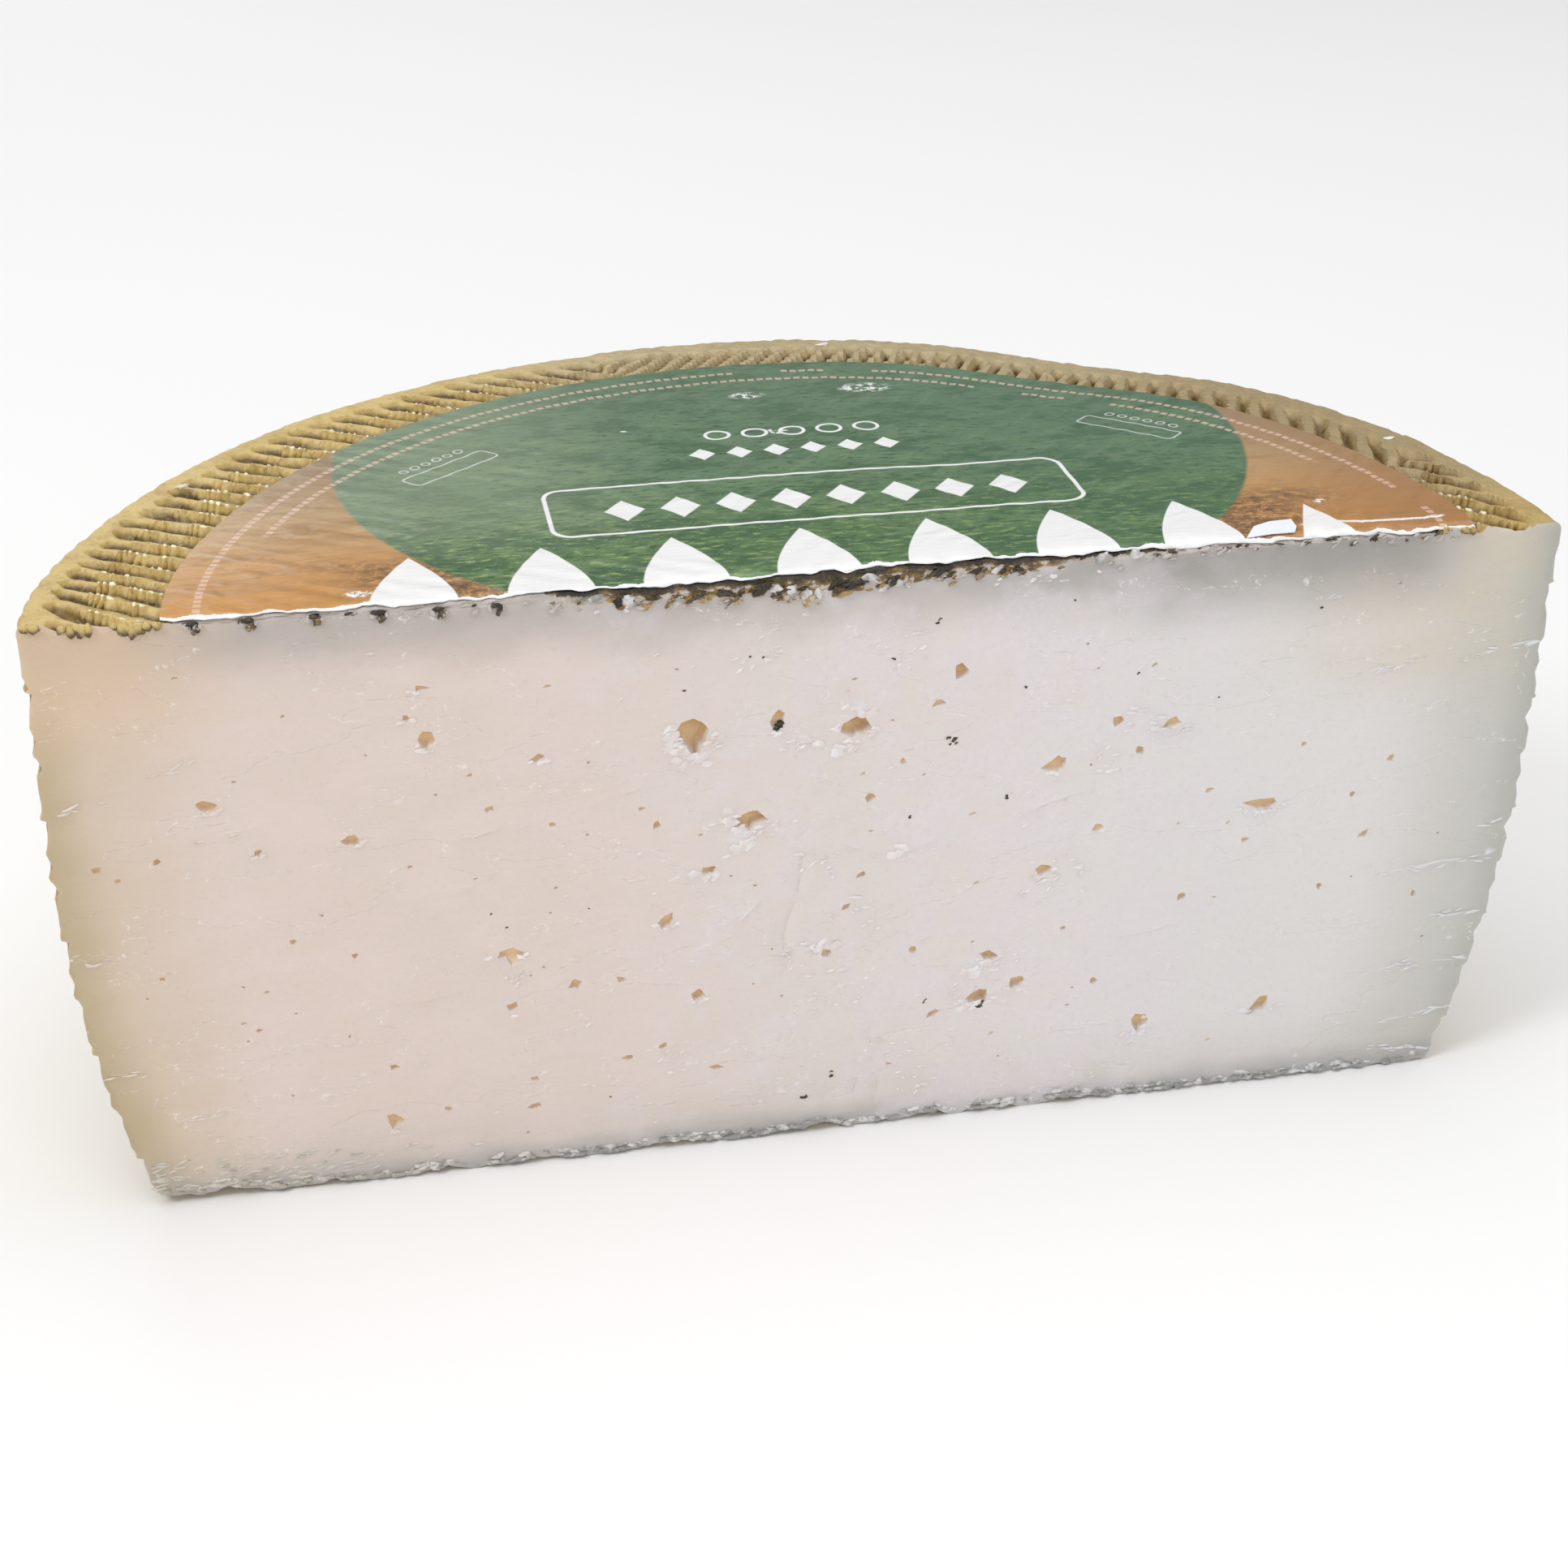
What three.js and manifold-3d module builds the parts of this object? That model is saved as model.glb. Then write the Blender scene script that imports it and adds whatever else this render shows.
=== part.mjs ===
// Half a wheel of semi-cured mixed milk cheese and the round paper label that was cut through with it.
// The half stands on its base with the cut side to the front. Its wall carries the zigzag that a plaited
// mould band leaves, its crown and base carry slanting ridges, and small eyes open in the cut side.
// Millimetres, +Z up. While it is built, the wheel's axis is the Z axis and the cut lies in the plane y = 0.
import * as THREE from "three";
import { mergeVertices } from "three/addons/utils/BufferGeometryUtils.js";
import Module from "manifold-3d";

// Driving dimensions
const WHEEL_RADIUS = 105.8; // at the waist, its widest
const WHEEL_HEIGHT = 89.6; // to the crests of the crown's ridges, at the rim
const WAIST_Z = 54;
const FOOT_TAPER = 8.6; // how much narrower the foot is than the waist
const CROWN_TAPER = 0.4;
const FOOT_BEVEL = 1.4;
const LABEL_RADIUS = 89.8;
const LABEL_THICKNESS = 0.4;
const LABEL_CLEARANCE = 0.3; // above the crests
const LABEL_CENTRE = new THREE.Vector2(2.5, 0); // the label was stuck on a little off the axis
const WAVE_HEIGHT = 0.3;
const WAVE_LENGTH = 9;
const TEAR_SETBACK = 0.8; // how far behind the cut the label's torn edge lies on average
const TEAR_DEPTH = 0.6;
const TEAR_LENGTH = 4.5;

// Plaited band round the wall
const BAND_HEIGHT = 9.05;
const FIRST_BAND_Z = -1.2; // the lowest band was pressed flat at the base
const STROKE_PITCH = 5;
const STROKE_DEPTH = 0.9;
const STROKE_SLOPE = 0.85; // sideways run of a stroke for each millimetre of height
const WALL_FOOT_Z = 1.6;
const WALL_CROWN_Z = WHEEL_HEIGHT - 2.2;

// Ridges of the crown
const RIDGE_PITCH = 4.1;
const RIDGE_HEIGHT = 1.5;
const RIDGE_BURIED = 0.5; // how far a ridge runs on down into the crown, where its foot is
const RIDGE_FOOT_WIDTH = 3.6;
const RIDGE_CREST_WIDTH = 1.3;
const RIDGE_MIDDLE_RADIUS = 94;
const RIDGE_OVERLAP = 1.5; // of a ridge with the plateau
const PLATEAU_RADIUS = 86.5; // inside it the label hides the ridges, so their crests are one level face
const LIP_WIDTH = 5.6; // the rounded rim that closes the ridges off
const LIP_RINGS = [
  // how far in from the wall and below the crests, and the share of the strokes' depth left there
  { inward: 0.8, below: 0.5, relief: 0.6 },
  { inward: 2.4, below: -0.3, relief: 0.2 },
];
const CREST_FIELDS = [
  // from and to: the field's ends round the wheel; slant: the way its ridges run, all in degrees
  { from: 0, to: 17, slant: 140, reach: 101.5 },
  { from: 17, to: 101, slant: 56, reach: 104 },
  { from: 101, to: 180, slant: 146, reach: 101.5 },
];

// The crown isn't level: it stands higher in the middle, sags at the back right and lifts at the left end of
// the cut. The wheel also leans a little to the right.
const DOME_RISE = 1;
const SAG_DEPTH = 1.7;
const SAG_HEADING = 55;
const SAG_SPREAD = 12;
const LIFT_HEIGHT = 2.6;
const LIFT_SPREAD = 14;
const LEAN = 0.015; // sideways for each millimetre of height
const LEAN_Z = 45; // the height at which the lean moves nothing

// Grooves of the base
const GROOVE_PITCH = 5.2;
const GROOVE_DEPTH = 0.6;
const GROOVE_WIDTH = 2;
const GROOVE_SLANT = 52;

// The larger eyes of the cut side: place, size and lean, seen from the front
const EYES = [
  { x: -18.3, z: 67.6, wide: 4.6, high: 4.8, lean: 20 },
  { x: -6.5, z: 69.1, wide: 2.4, high: 3.2, lean: 10 },
  { x: 4.6, z: 66.8, wide: 5.2, high: 3.6, lean: 25 },
  { x: -10.3, z: 54.2, wide: 4.4, high: 3.4, lean: 15 },
  { x: -54.2, z: 70.6, wide: 2.4, high: 2.6, lean: 0 },
  { x: -83.7, z: 63.6, wide: 2.8, high: 1.8, lean: -20 },
  { x: -65.4, z: 56.5, wide: 3.2, high: 1.8, lean: 10 },
  { x: -45.4, z: 35.8, wide: 4.8, high: 2.8, lean: -35 },
  { x: -18.4, z: 26.1, wide: 2.4, high: 2, lean: 25 },
  { x: -22.7, z: 38.9, wide: 3, high: 2, lean: 45 },
  { x: -62.9, z: 10, wide: 3.6, high: 2.2, lean: 55 },
  { x: 33.8, z: 58.2, wide: 3, high: 2.4, lean: 10 },
  { x: 32.6, z: 41.1, wide: 2.8, high: 2.2, lean: 20 },
  { x: 50.5, z: 63.2, wide: 5.6, high: 2, lean: 15 },
  { x: 65.2, z: 48.4, wide: 6.4, high: 2.4, lean: -25 },
  { x: 24.9, z: 27.5, wide: 3, high: 2.2, lean: -35 },
  { x: 29.3, z: 22.3, wide: 3.2, high: 2.4, lean: 0 },
  { x: 23.4, z: 20.5, wide: 4.4, high: 2.8, lean: 10 },
  { x: 48.6, z: 12.9, wide: 3, high: 3.8, lean: -20 },
  { x: 67.9, z: 13.9, wide: 5.8, high: 2.6, lean: 35 },
];
const EYE_DEPTH = 0.75; // as a share of an eye's width
const ROUGHNESS = 0.22; // how uneven eyes and scraps are, as a share of their size

// Scraps of rind that the knife dragged over the upper edge of the cut, under the torn label
const SCRAP_REACH = 0.8; // how far the furthest of them stands out of the cut
const SCRAP_ROWS = [
  { from: -82.5, to: -34, step: 7.9, wide: 2.6, high: 2 },
  { from: -27, to: 36, step: 5.6, wide: 6.4, high: 3.6 },
  { from: 42, to: 90, step: 8.2, wide: 5, high: 2.2 },
];

const TURN = Math.PI / 180;
const BEYOND_CUT = 8; // degrees by which the fine mesh of the wheel runs past the cut

const wasm = await Module();
wasm.setup();

// A repeatable draw from 0 to 1 for each whole number and stream.
function draw(index, stream) {
  const s = Math.sin(index * 127.1 + stream * 311.7 + 17.3) * 43758.5453;
  return s - Math.floor(s);
}

// Smooth noise from -1 to 1 along a line.
function waver(at, stream) {
  const cell = Math.floor(at);
  const t = at - cell;
  const ease = t * t * (3 - 2 * t);
  return 2 * THREE.MathUtils.lerp(draw(cell, stream), draw(cell + 1, stream), ease) - 1;
}

function solidOf(geometry) {
  const bare = geometry.clone();
  bare.deleteAttribute("normal");
  bare.deleteAttribute("uv");
  const merged = mergeVertices(bare, 1e-4);
  return new wasm.Manifold(
    new wasm.Mesh({
      numProp: 3,
      vertProperties: merged.attributes.position.array,
      triVerts: new Uint32Array(merged.index.array),
    }),
  );
}

function geometryOf(solid) {
  const mesh = solid.getMesh();
  const geometry = new THREE.BufferGeometry();
  geometry.setAttribute("position", new THREE.BufferAttribute(mesh.vertProperties, 3));
  geometry.setIndex(new THREE.BufferAttribute(mesh.triVerts, 1));
  return geometry;
}

// Radius of the wall at a height: fullest at the waist and drawn in towards the foot.
function wallRadius(z) {
  if (z < WAIST_Z) return WHEEL_RADIUS - FOOT_TAPER * ((WAIST_Z - z) / WAIST_Z) ** 2;
  return WHEEL_RADIUS - CROWN_TAPER * ((z - WAIST_Z) / (WHEEL_HEIGHT - WAIST_Z)) ** 2;
}

// How far the zigzag has run sideways at a height, in degrees: back and forth from band to band.
function zigzag(z) {
  const band = (z - FIRST_BAND_Z) / BAND_HEIGHT;
  const share = Math.abs(((band + 1) % 2) - 1);
  return (share * BAND_HEIGHT * STROKE_SLOPE) / WHEEL_RADIUS / TURN;
}

// The wheel's rings from foot to crown. turn: how far the ring is turned by the zigzag, in degrees;
// relief: how deep the strokes of the plaited band are cut there.
function wheelRings() {
  const floor = WHEEL_HEIGHT - RIDGE_HEIGHT;
  const levels = [WALL_FOOT_Z];
  for (let z = FIRST_BAND_Z + BAND_HEIGHT; z < WALL_CROWN_Z; z += BAND_HEIGHT) levels.push(z);
  levels.push(WALL_CROWN_Z);
  const rings = [{ radius: wallRadius(0) - FOOT_BEVEL, z: 0, turn: zigzag(WALL_FOOT_Z), relief: 0 }];
  for (const z of levels) rings.push({ radius: wallRadius(z), z, turn: zigzag(z), relief: STROKE_DEPTH });
  const crownTurn = zigzag(WALL_CROWN_Z);
  const lip = wallRadius(WALL_CROWN_Z);
  for (const { inward, below, relief } of LIP_RINGS) {
    const z = WHEEL_HEIGHT - below;
    rings.push({ radius: lip - inward, z, turn: crownTurn, relief: STROKE_DEPTH * relief });
  }
  rings.push({ radius: lip - LIP_WIDTH, z: floor, turn: crownTurn, relief: 0 });
  return rings;
}

// Angles of the wheel's columns: three to each stroke on the kept half, and a few on the half cut away.
function wheelColumns() {
  const step = STROKE_PITCH / 3 / WHEEL_RADIUS / TURN;
  const count = Math.ceil((180 + 2 * BEYOND_CUT) / step);
  const columns = [];
  for (let k = 0; k <= count; k++) {
    columns.push({ angle: -BEYOND_CUT + k * step, groove: k % 3 === 0 ? 1 : 0 });
  }
  for (const angle of [215, 245, 270, 295, 325]) columns.push({ angle, groove: 0 });
  return columns;
}

function wheel() {
  const rings = wheelRings();
  const columns = wheelColumns();
  const across = columns.length;
  const points = [];
  for (const ring of rings) {
    for (const column of columns) {
      const radius = ring.radius - column.groove * ring.relief;
      const angle = (column.angle + ring.turn) * TURN;
      points.push(radius * Math.cos(angle), radius * Math.sin(angle), ring.z);
    }
  }
  const foot = points.push(0, 0, 0) / 3 - 1;
  const crown = points.push(0, 0, rings.at(-1).z) / 3 - 1;
  const faces = [];
  for (let k = 0; k < across; k++) {
    const next = (k + 1) % across;
    faces.push(foot, next, k);
    for (let row = 0; row < rings.length - 1; row++) {
      const low = row * across;
      const high = low + across;
      faces.push(low + k, low + next, high + next, low + k, high + next, high + k);
    }
    const last = (rings.length - 1) * across;
    faces.push(crown, last + k, last + next);
  }
  const geometry = new THREE.BufferGeometry();
  geometry.setAttribute("position", new THREE.Float32BufferAttribute(points, 3));
  geometry.setIndex(faces);
  return solidOf(geometry);
}

// The level face that the label lies on, as high as the ridges' crests.
function plateau() {
  const root = WHEEL_HEIGHT - RIDGE_HEIGHT - 1;
  const profile = [new THREE.Vector2(0, root), new THREE.Vector2(PLATEAU_RADIUS, root)];
  for (const share of [1, 0.7, 0.4, 0]) {
    profile.push(new THREE.Vector2(PLATEAU_RADIUS * share, WHEEL_HEIGHT));
  }
  const lathe = new THREE.LatheGeometry(profile, 54);
  lathe.rotateX(Math.PI / 2);
  return solidOf(lathe);
}

// Distance along a line from its foot point, offset from the axis, to a circle round the axis.
const runTo = (radius, offset) => Math.sqrt(radius * radius - offset * offset);

// One ridge of the crown: a bar with sloping sides along a slanting line.
function ridge(slant, offset, sense, reach) {
  const start = runTo(PLATEAU_RADIUS - RIDGE_OVERLAP, offset);
  const end = runTo(reach, offset);
  const root = -RIDGE_HEIGHT - RIDGE_BURIED;
  const section = new THREE.Shape([
    new THREE.Vector2(-RIDGE_FOOT_WIDTH / 2, root),
    new THREE.Vector2(RIDGE_FOOT_WIDTH / 2, root),
    new THREE.Vector2(RIDGE_CREST_WIDTH / 2, 0),
    new THREE.Vector2(-RIDGE_CREST_WIDTH / 2, 0),
  ]);
  const bar = new THREE.ExtrudeGeometry(section, { depth: end - start, bevelEnabled: false });
  bar.rotateX(Math.PI / 2); // the section now stands in XZ and the bar runs along -Y
  bar.translate(0, end, 0);
  bar.rotateZ((slant - 90) * TURN + (sense < 0 ? Math.PI : 0));
  const across = new THREE.Vector2(-Math.sin(slant * TURN), Math.cos(slant * TURN));
  bar.translate(across.x * offset, across.y * offset, WHEEL_HEIGHT);
  return solidOf(bar);
}

// All ridges of one field: parallel lines, kept where they cross the ridge circle inside the field.
// At the cut the field runs on a little, so that a ridge that starts behind the cut still shows there.
function ridgeField({ from, to, slant, reach }) {
  const spare = 1.5;
  const first = from === 0 ? -spare : from;
  const last = to === 180 ? 180 + spare : to;
  const along = new THREE.Vector2(Math.cos(slant * TURN), Math.sin(slant * TURN));
  const across = new THREE.Vector2(-along.y, along.x);
  const most = Math.floor((PLATEAU_RADIUS - 2 * RIDGE_OVERLAP) / RIDGE_PITCH);
  const bars = [];
  for (let k = -most; k <= most; k++) {
    const offset = k * RIDGE_PITCH;
    for (const sense of [1, -1]) {
      const middle = across.clone().multiplyScalar(offset);
      middle.addScaledVector(along, sense * runTo(RIDGE_MIDDLE_RADIUS, offset));
      const heading = Math.atan2(middle.y, middle.x) / TURN;
      if (heading >= first && heading < last) bars.push(ridge(slant, offset, sense, reach));
    }
  }
  return bars;
}

// The grooves of the base: shallow notches with flat lands between them, which carry the wheel.
function baseGrooves() {
  const below = -0.2; // a notch starts below the base, so that no face of it lies in the base
  const notch = new THREE.Shape([
    new THREE.Vector2(-GROOVE_WIDTH / 2, below),
    new THREE.Vector2(GROOVE_WIDTH / 2, below),
    new THREE.Vector2(0, GROOVE_DEPTH),
  ]);
  const length = 2.4 * WHEEL_RADIUS;
  const grooves = [];
  const most = Math.floor(WHEEL_RADIUS / GROOVE_PITCH);
  for (let k = -most; k <= most; k++) {
    const groove = new THREE.ExtrudeGeometry(notch, { depth: length, bevelEnabled: false });
    groove.rotateX(Math.PI / 2);
    groove.translate((k + 0.5) * GROOVE_PITCH, length / 2, 0);
    groove.rotateZ((GROOVE_SLANT - 90) * TURN);
    grooves.push(solidOf(groove));
  }
  return grooves;
}

// A ball of radius 1 with uneven corners.
function lump(detail, index) {
  const blob = new THREE.IcosahedronGeometry(1, detail);
  const place = blob.getAttribute("position");
  const corner = new THREE.Vector3();
  for (let i = 0; i < place.count; i++) {
    corner.fromBufferAttribute(place, i);
    const mark = Math.round(97 * corner.x + 57 * corner.y + 31 * corner.z);
    corner.multiplyScalar(1 + ROUGHNESS * (2 * draw(mark, index) - 1));
    place.setXYZ(i, corner.x, corner.y, corner.z);
  }
  return blob;
}

// An eye: a rough hollow that opens in the cut side.
function eye({ x, z, wide, high, lean }, index) {
  const hollow = lump(wide > 4 ? 1 : 0, index);
  hollow.scale(wide / 2, wide * EYE_DEPTH, high / 2);
  hollow.rotateY(-lean * TURN);
  hollow.translate(x, 0, z);
  return solidOf(hollow);
}

// The scraps of rind along the upper edge of the cut, heavier in the middle.
function scraps() {
  const pieces = [];
  for (const { from, to, step, wide, high } of SCRAP_ROWS) {
    for (let x = from; x < to; x += step) {
      const index = Math.round(x * 10);
      const size = 0.75 + 0.5 * draw(index, 3);
      const middle = WHEEL_HEIGHT - 0.62 * high * size; // low enough to keep its top off the label
      const scrap = lump(0, index);
      scrap.scale((wide * size) / 2, SCRAP_REACH * 1.1, (high * size) / 2);
      scrap.translate(x + draw(index, 4) - 0.5, 0, middle);
      pieces.push(solidOf(scrap));
    }
  }
  return pieces;
}

// Everything in front of a plane across the Y axis.
function inFrontOf(y) {
  const span = 3 * WHEEL_RADIUS;
  const block = new THREE.BoxGeometry(span, span, span);
  block.translate(0, y - span / 2, 0);
  return solidOf(block);
}

function halfWheel() {
  const pieces = [plateau(), ...CREST_FIELDS.flatMap(ridgeField)];
  let cheese = wheel();
  for (const piece of pieces) cheese = cheese.add(piece);
  for (const groove of baseGrooves()) cheese = cheese.subtract(groove);
  cheese = cheese.subtract(inFrontOf(0));
  EYES.forEach((place, index) => {
    cheese = cheese.subtract(eye(place, index));
  });
  for (const scrap of scraps()) cheese = cheese.add(scrap);
  cheese = cheese.subtract(inFrontOf(-SCRAP_REACH));
  return geometryOf(cheese);
}

// The label: half a thin disc whose front edge was torn by the knife, lying in faint waves on the crests.
function label() {
  const across = 46;
  const deep = 7;
  const margin = 0.012; // keeps the two front corners from running to nothing
  const points = [];
  for (const side of [0, LABEL_THICKNESS]) {
    for (let i = 0; i <= across; i++) {
      const heading = Math.PI * THREE.MathUtils.lerp(1 - margin, margin, i / across);
      const x = LABEL_CENTRE.x + LABEL_RADIUS * Math.cos(heading);
      const back = LABEL_CENTRE.y + LABEL_RADIUS * Math.sin(heading);
      const front = TEAR_SETBACK + TEAR_DEPTH * waver(x / TEAR_LENGTH, 1);
      for (let j = 0; j <= deep; j++) {
        const y = THREE.MathUtils.lerp(front, back, j / deep);
        const rise = (WAVE_HEIGHT * (1 + waver((0.5 * x + 0.85 * y) / WAVE_LENGTH, 2))) / 2;
        points.push(x, y, WHEEL_HEIGHT + LABEL_CLEARANCE + rise + side);
      }
    }
  }
  const row = deep + 1;
  const sheet = row * (across + 1);
  const faces = [];
  const quad = (a, b, c, d) => faces.push(a, b, c, a, c, d);
  for (let i = 0; i < across; i++) {
    for (let j = 0; j < deep; j++) {
      const a = i * row + j;
      quad(a, a + 1, a + row + 1, a + row);
      quad(sheet + a, sheet + a + row, sheet + a + row + 1, sheet + a + 1);
    }
    const front = i * row;
    const back = front + deep;
    quad(front, front + row, sheet + front + row, sheet + front);
    quad(back + row, back, sheet + back, sheet + back + row);
  }
  for (let j = 0; j < deep; j++) {
    const right = across * row + j;
    quad(j + 1, j, sheet + j, sheet + j + 1);
    quad(right, right + 1, sheet + right + 1, sheet + right);
  }
  const geometry = new THREE.BufferGeometry();
  geometry.setAttribute("position", new THREE.Float32BufferAttribute(points, 3));
  geometry.setIndex(faces);
  return geometry;
}

// How far the crown at a place stands above or below the level of the rim.
function crownRise(x, y) {
  const out = Math.min(Math.hypot(x, y) / WHEEL_RADIUS, 1);
  const heading = Math.atan2(y, x) / TURN;
  const sag = SAG_DEPTH * Math.exp(-(((heading - SAG_HEADING) / SAG_SPREAD) ** 2)) * out ** 2;
  const lift = LIFT_HEIGHT * Math.exp(-(((180 - heading) / LIFT_SPREAD) ** 2)) * out ** 4;
  return DOME_RISE * (1 - out ** 2) - sag + lift;
}

// Stretches a shape upwards so that its crown follows crownRise, while its base stays flat, and leans it.
function settle(geometry) {
  const place = geometry.getAttribute("position");
  for (let i = 0; i < place.count; i++) {
    const [x, y, z] = [place.getX(i), place.getY(i), place.getZ(i)];
    const settled = z + (crownRise(x, y) * z) / WHEEL_HEIGHT;
    place.setX(i, x + LEAN * (settled - LEAN_Z));
    place.setZ(i, settled);
  }
  return geometry;
}

function named(name, geometry, colour, roughness) {
  const material = new THREE.MeshStandardMaterial({ color: colour, roughness, metalness: 0 });
  const mesh = new THREE.Mesh(geometry, material);
  mesh.name = name;
  return mesh;
}

const part = new THREE.Group();
part.add(named("cheese", settle(halfWheel()), 0xe0d2c6, 0.5));
part.add(named("label", settle(label()), 0x55785a, 0.4));

// The origin is under the middle of the whole, on the surface that it stands on.
const bounds = new THREE.Box3().setFromObject(part, true);
part.position.set(-(bounds.min.x + bounds.max.x) / 2, -(bounds.min.y + bounds.max.y) / 2, -bounds.min.z);

export default part;
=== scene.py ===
# Looks of the half wheel of semi-cured mixed milk cheese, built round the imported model.
# Shapes are worked out in millimetres in the wheel's own frame: X along the cut, Y away from the viewer,
# Z up, with the wheel's axis at x = 0, y = 0 and the cut side in the plane y = 0. There the wheel stands
# straight under a level crown. settle() then gives the crown its dome, sag and lift, and lets it lean.
import functools
import math

import bmesh
import bpy
import numpy as np
from mathutils import Matrix, Vector
from mathutils.geometry import delaunay_2d_cdt


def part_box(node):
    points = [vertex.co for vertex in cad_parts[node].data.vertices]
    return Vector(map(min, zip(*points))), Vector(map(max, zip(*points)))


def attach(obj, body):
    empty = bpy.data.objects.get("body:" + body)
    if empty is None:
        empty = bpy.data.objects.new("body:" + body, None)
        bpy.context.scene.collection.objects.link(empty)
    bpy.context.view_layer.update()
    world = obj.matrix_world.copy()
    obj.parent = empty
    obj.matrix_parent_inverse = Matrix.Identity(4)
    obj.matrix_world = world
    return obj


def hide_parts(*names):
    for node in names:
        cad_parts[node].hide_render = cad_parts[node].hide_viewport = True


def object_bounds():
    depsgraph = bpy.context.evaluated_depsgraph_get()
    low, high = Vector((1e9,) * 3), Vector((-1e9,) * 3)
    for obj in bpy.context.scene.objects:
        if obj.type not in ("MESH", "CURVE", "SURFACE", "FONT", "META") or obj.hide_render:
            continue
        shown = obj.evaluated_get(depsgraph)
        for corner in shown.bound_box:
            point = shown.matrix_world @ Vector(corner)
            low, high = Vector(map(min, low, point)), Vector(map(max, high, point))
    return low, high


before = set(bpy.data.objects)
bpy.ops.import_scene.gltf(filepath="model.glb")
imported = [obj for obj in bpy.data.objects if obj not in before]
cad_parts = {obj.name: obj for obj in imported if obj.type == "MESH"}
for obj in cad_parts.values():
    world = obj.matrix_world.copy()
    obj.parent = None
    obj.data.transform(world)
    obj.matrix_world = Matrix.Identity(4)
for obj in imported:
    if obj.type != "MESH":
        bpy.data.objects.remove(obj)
cad_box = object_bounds()
label_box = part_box("label")

# Driving dimensions, in millimetres
SCRAP_REACH = 0.8  # how far the furthest scrap of rind stands out of the cut
WHEEL_RADIUS = 105.7
WHEEL_HEIGHT = 89.6  # to the crests of the crown's ridges, at the rim
WAIST_Z = 54.0
FOOT_TAPER = 8.6
CROWN_TAPER = 0.4
DOME_RISE = 0.95
SAG_DEPTH, SAG_HEADING, SAG_SPREAD = 1.7, 55.0, 12.0
LIFT_HEIGHT, LIFT_SPREAD = 2.5, 14.0
LEAN, LEAN_Z = 0.015, 45.0
FOOT_LIFT, FOOT_LIFT_FROM = 1.1, (72.0, 98.0)  # how the left end of the foot curls up

BAND_HEIGHT = 9.05
FIRST_BAND_Z = -1.2
BAND_STEP = 0.75  # how far the lower end of a band stands out over the one below
BAND_ROWS = (0.0, 0.06, 0.24, 0.44, 0.64, 0.83, 0.965)  # where the mesh has its rows on a band
STROKE_PITCH = 5.0
STROKE_DEPTH = 0.75
STROKE_SLOPE = 0.85
STROKE_START = -8.0  # heading of the first stroke's groove, in degrees
WALL_FOOT_Z = 1.6
WALL_CROWN_Z = WHEEL_HEIGHT - 1.5

RIDGE_PITCH = 4.1
RIDGE_HEIGHT = 1.85
ANNULUS_RADIUS = 86.0  # inside it the label hides the crown
LIP_RADIUS = 101.6  # where the smooth lip begins
LIP_ROUND = 1.1
FIELDS = {"right": (0.0, 17.0, 140.0), "back": (17.0, 101.0, 56.0), "left": (101.0, 180.0, 146.0)}
FIELD_STEPS = (0.29, 0.9, 0.27)  # of the mesh along each field
COLUMN_RADIUS = 97.0  # where these steps are measured
LEFT_TEETH_END, RIGHT_TEETH_END, BACK_END = (97.4, 99.4), (100.4, 102.0), (98.4, 100.8)  # towards the lip
PIT_RADIUS = 99.0  # of the dark pits at the ends of the rows
BACK_STEP = 3.9  # of the back's ridges, along the cut
BACK_FAN = (0.6, 0.0028)  # how far they lean, and how much less further to the right
BEAD_PITCH = 1.4

GROOVE_PITCH, GROOVE_DEPTH, GROOVE_WIDTH, GROOVE_SLANT = 5.2, 0.6, 2.0, 52.0

LABEL_RADIUS = 89.8
LABEL_CENTRE = (2.5, 0.0)
LABEL_LEVEL = 0.2  # of the paper's lower face above the crests
LABEL_SHELF = 0.8  # of the CAD label's middle above the crests
LABEL_ENDS = (92.3, -87.3)  # right and left end of its torn edge
PAPER = 0.16

RIND_SHOWS = -38.0  # left of it only teeth of rind show along the cut, under the label
# The dark edge is partly painted shadow under the label.
DARK_START, DARK_END = (-42, -34), (38, 54)  # where the dark edge of the rind begins and pales
UNDER_EDGE = (-84.4, 84.9, 0.8)  # the edge of the crown under the label: from, to and step
FOOT_ROWS = ((0.5, 0.6), (1.3, 0.0))  # lowest rows of the wall: how far they fall back, and height
# Height at which the paste ends under the label, along the cut: x and z
PASTE_TOP = ((-90, 90), (-87, 89.9), (-76, 89.8), (-55, 89.3), (-40, 89.1), (-30, 88.4), (-8, 88.1),
             (18, 88.1), (34, 88.9), (60, 89.3), (91, 89.3))

CUT_Y = cad_box[0].y * 1000 + SCRAP_REACH
LABEL_SHIFT = LEAN * (WHEEL_HEIGHT + LABEL_SHELF - LEAN_Z)  # how far the lean moves the label
AXIS_X = (label_box[0].x + label_box[1].x) * 500 - LABEL_CENTRE[0] - LABEL_SHIFT

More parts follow.
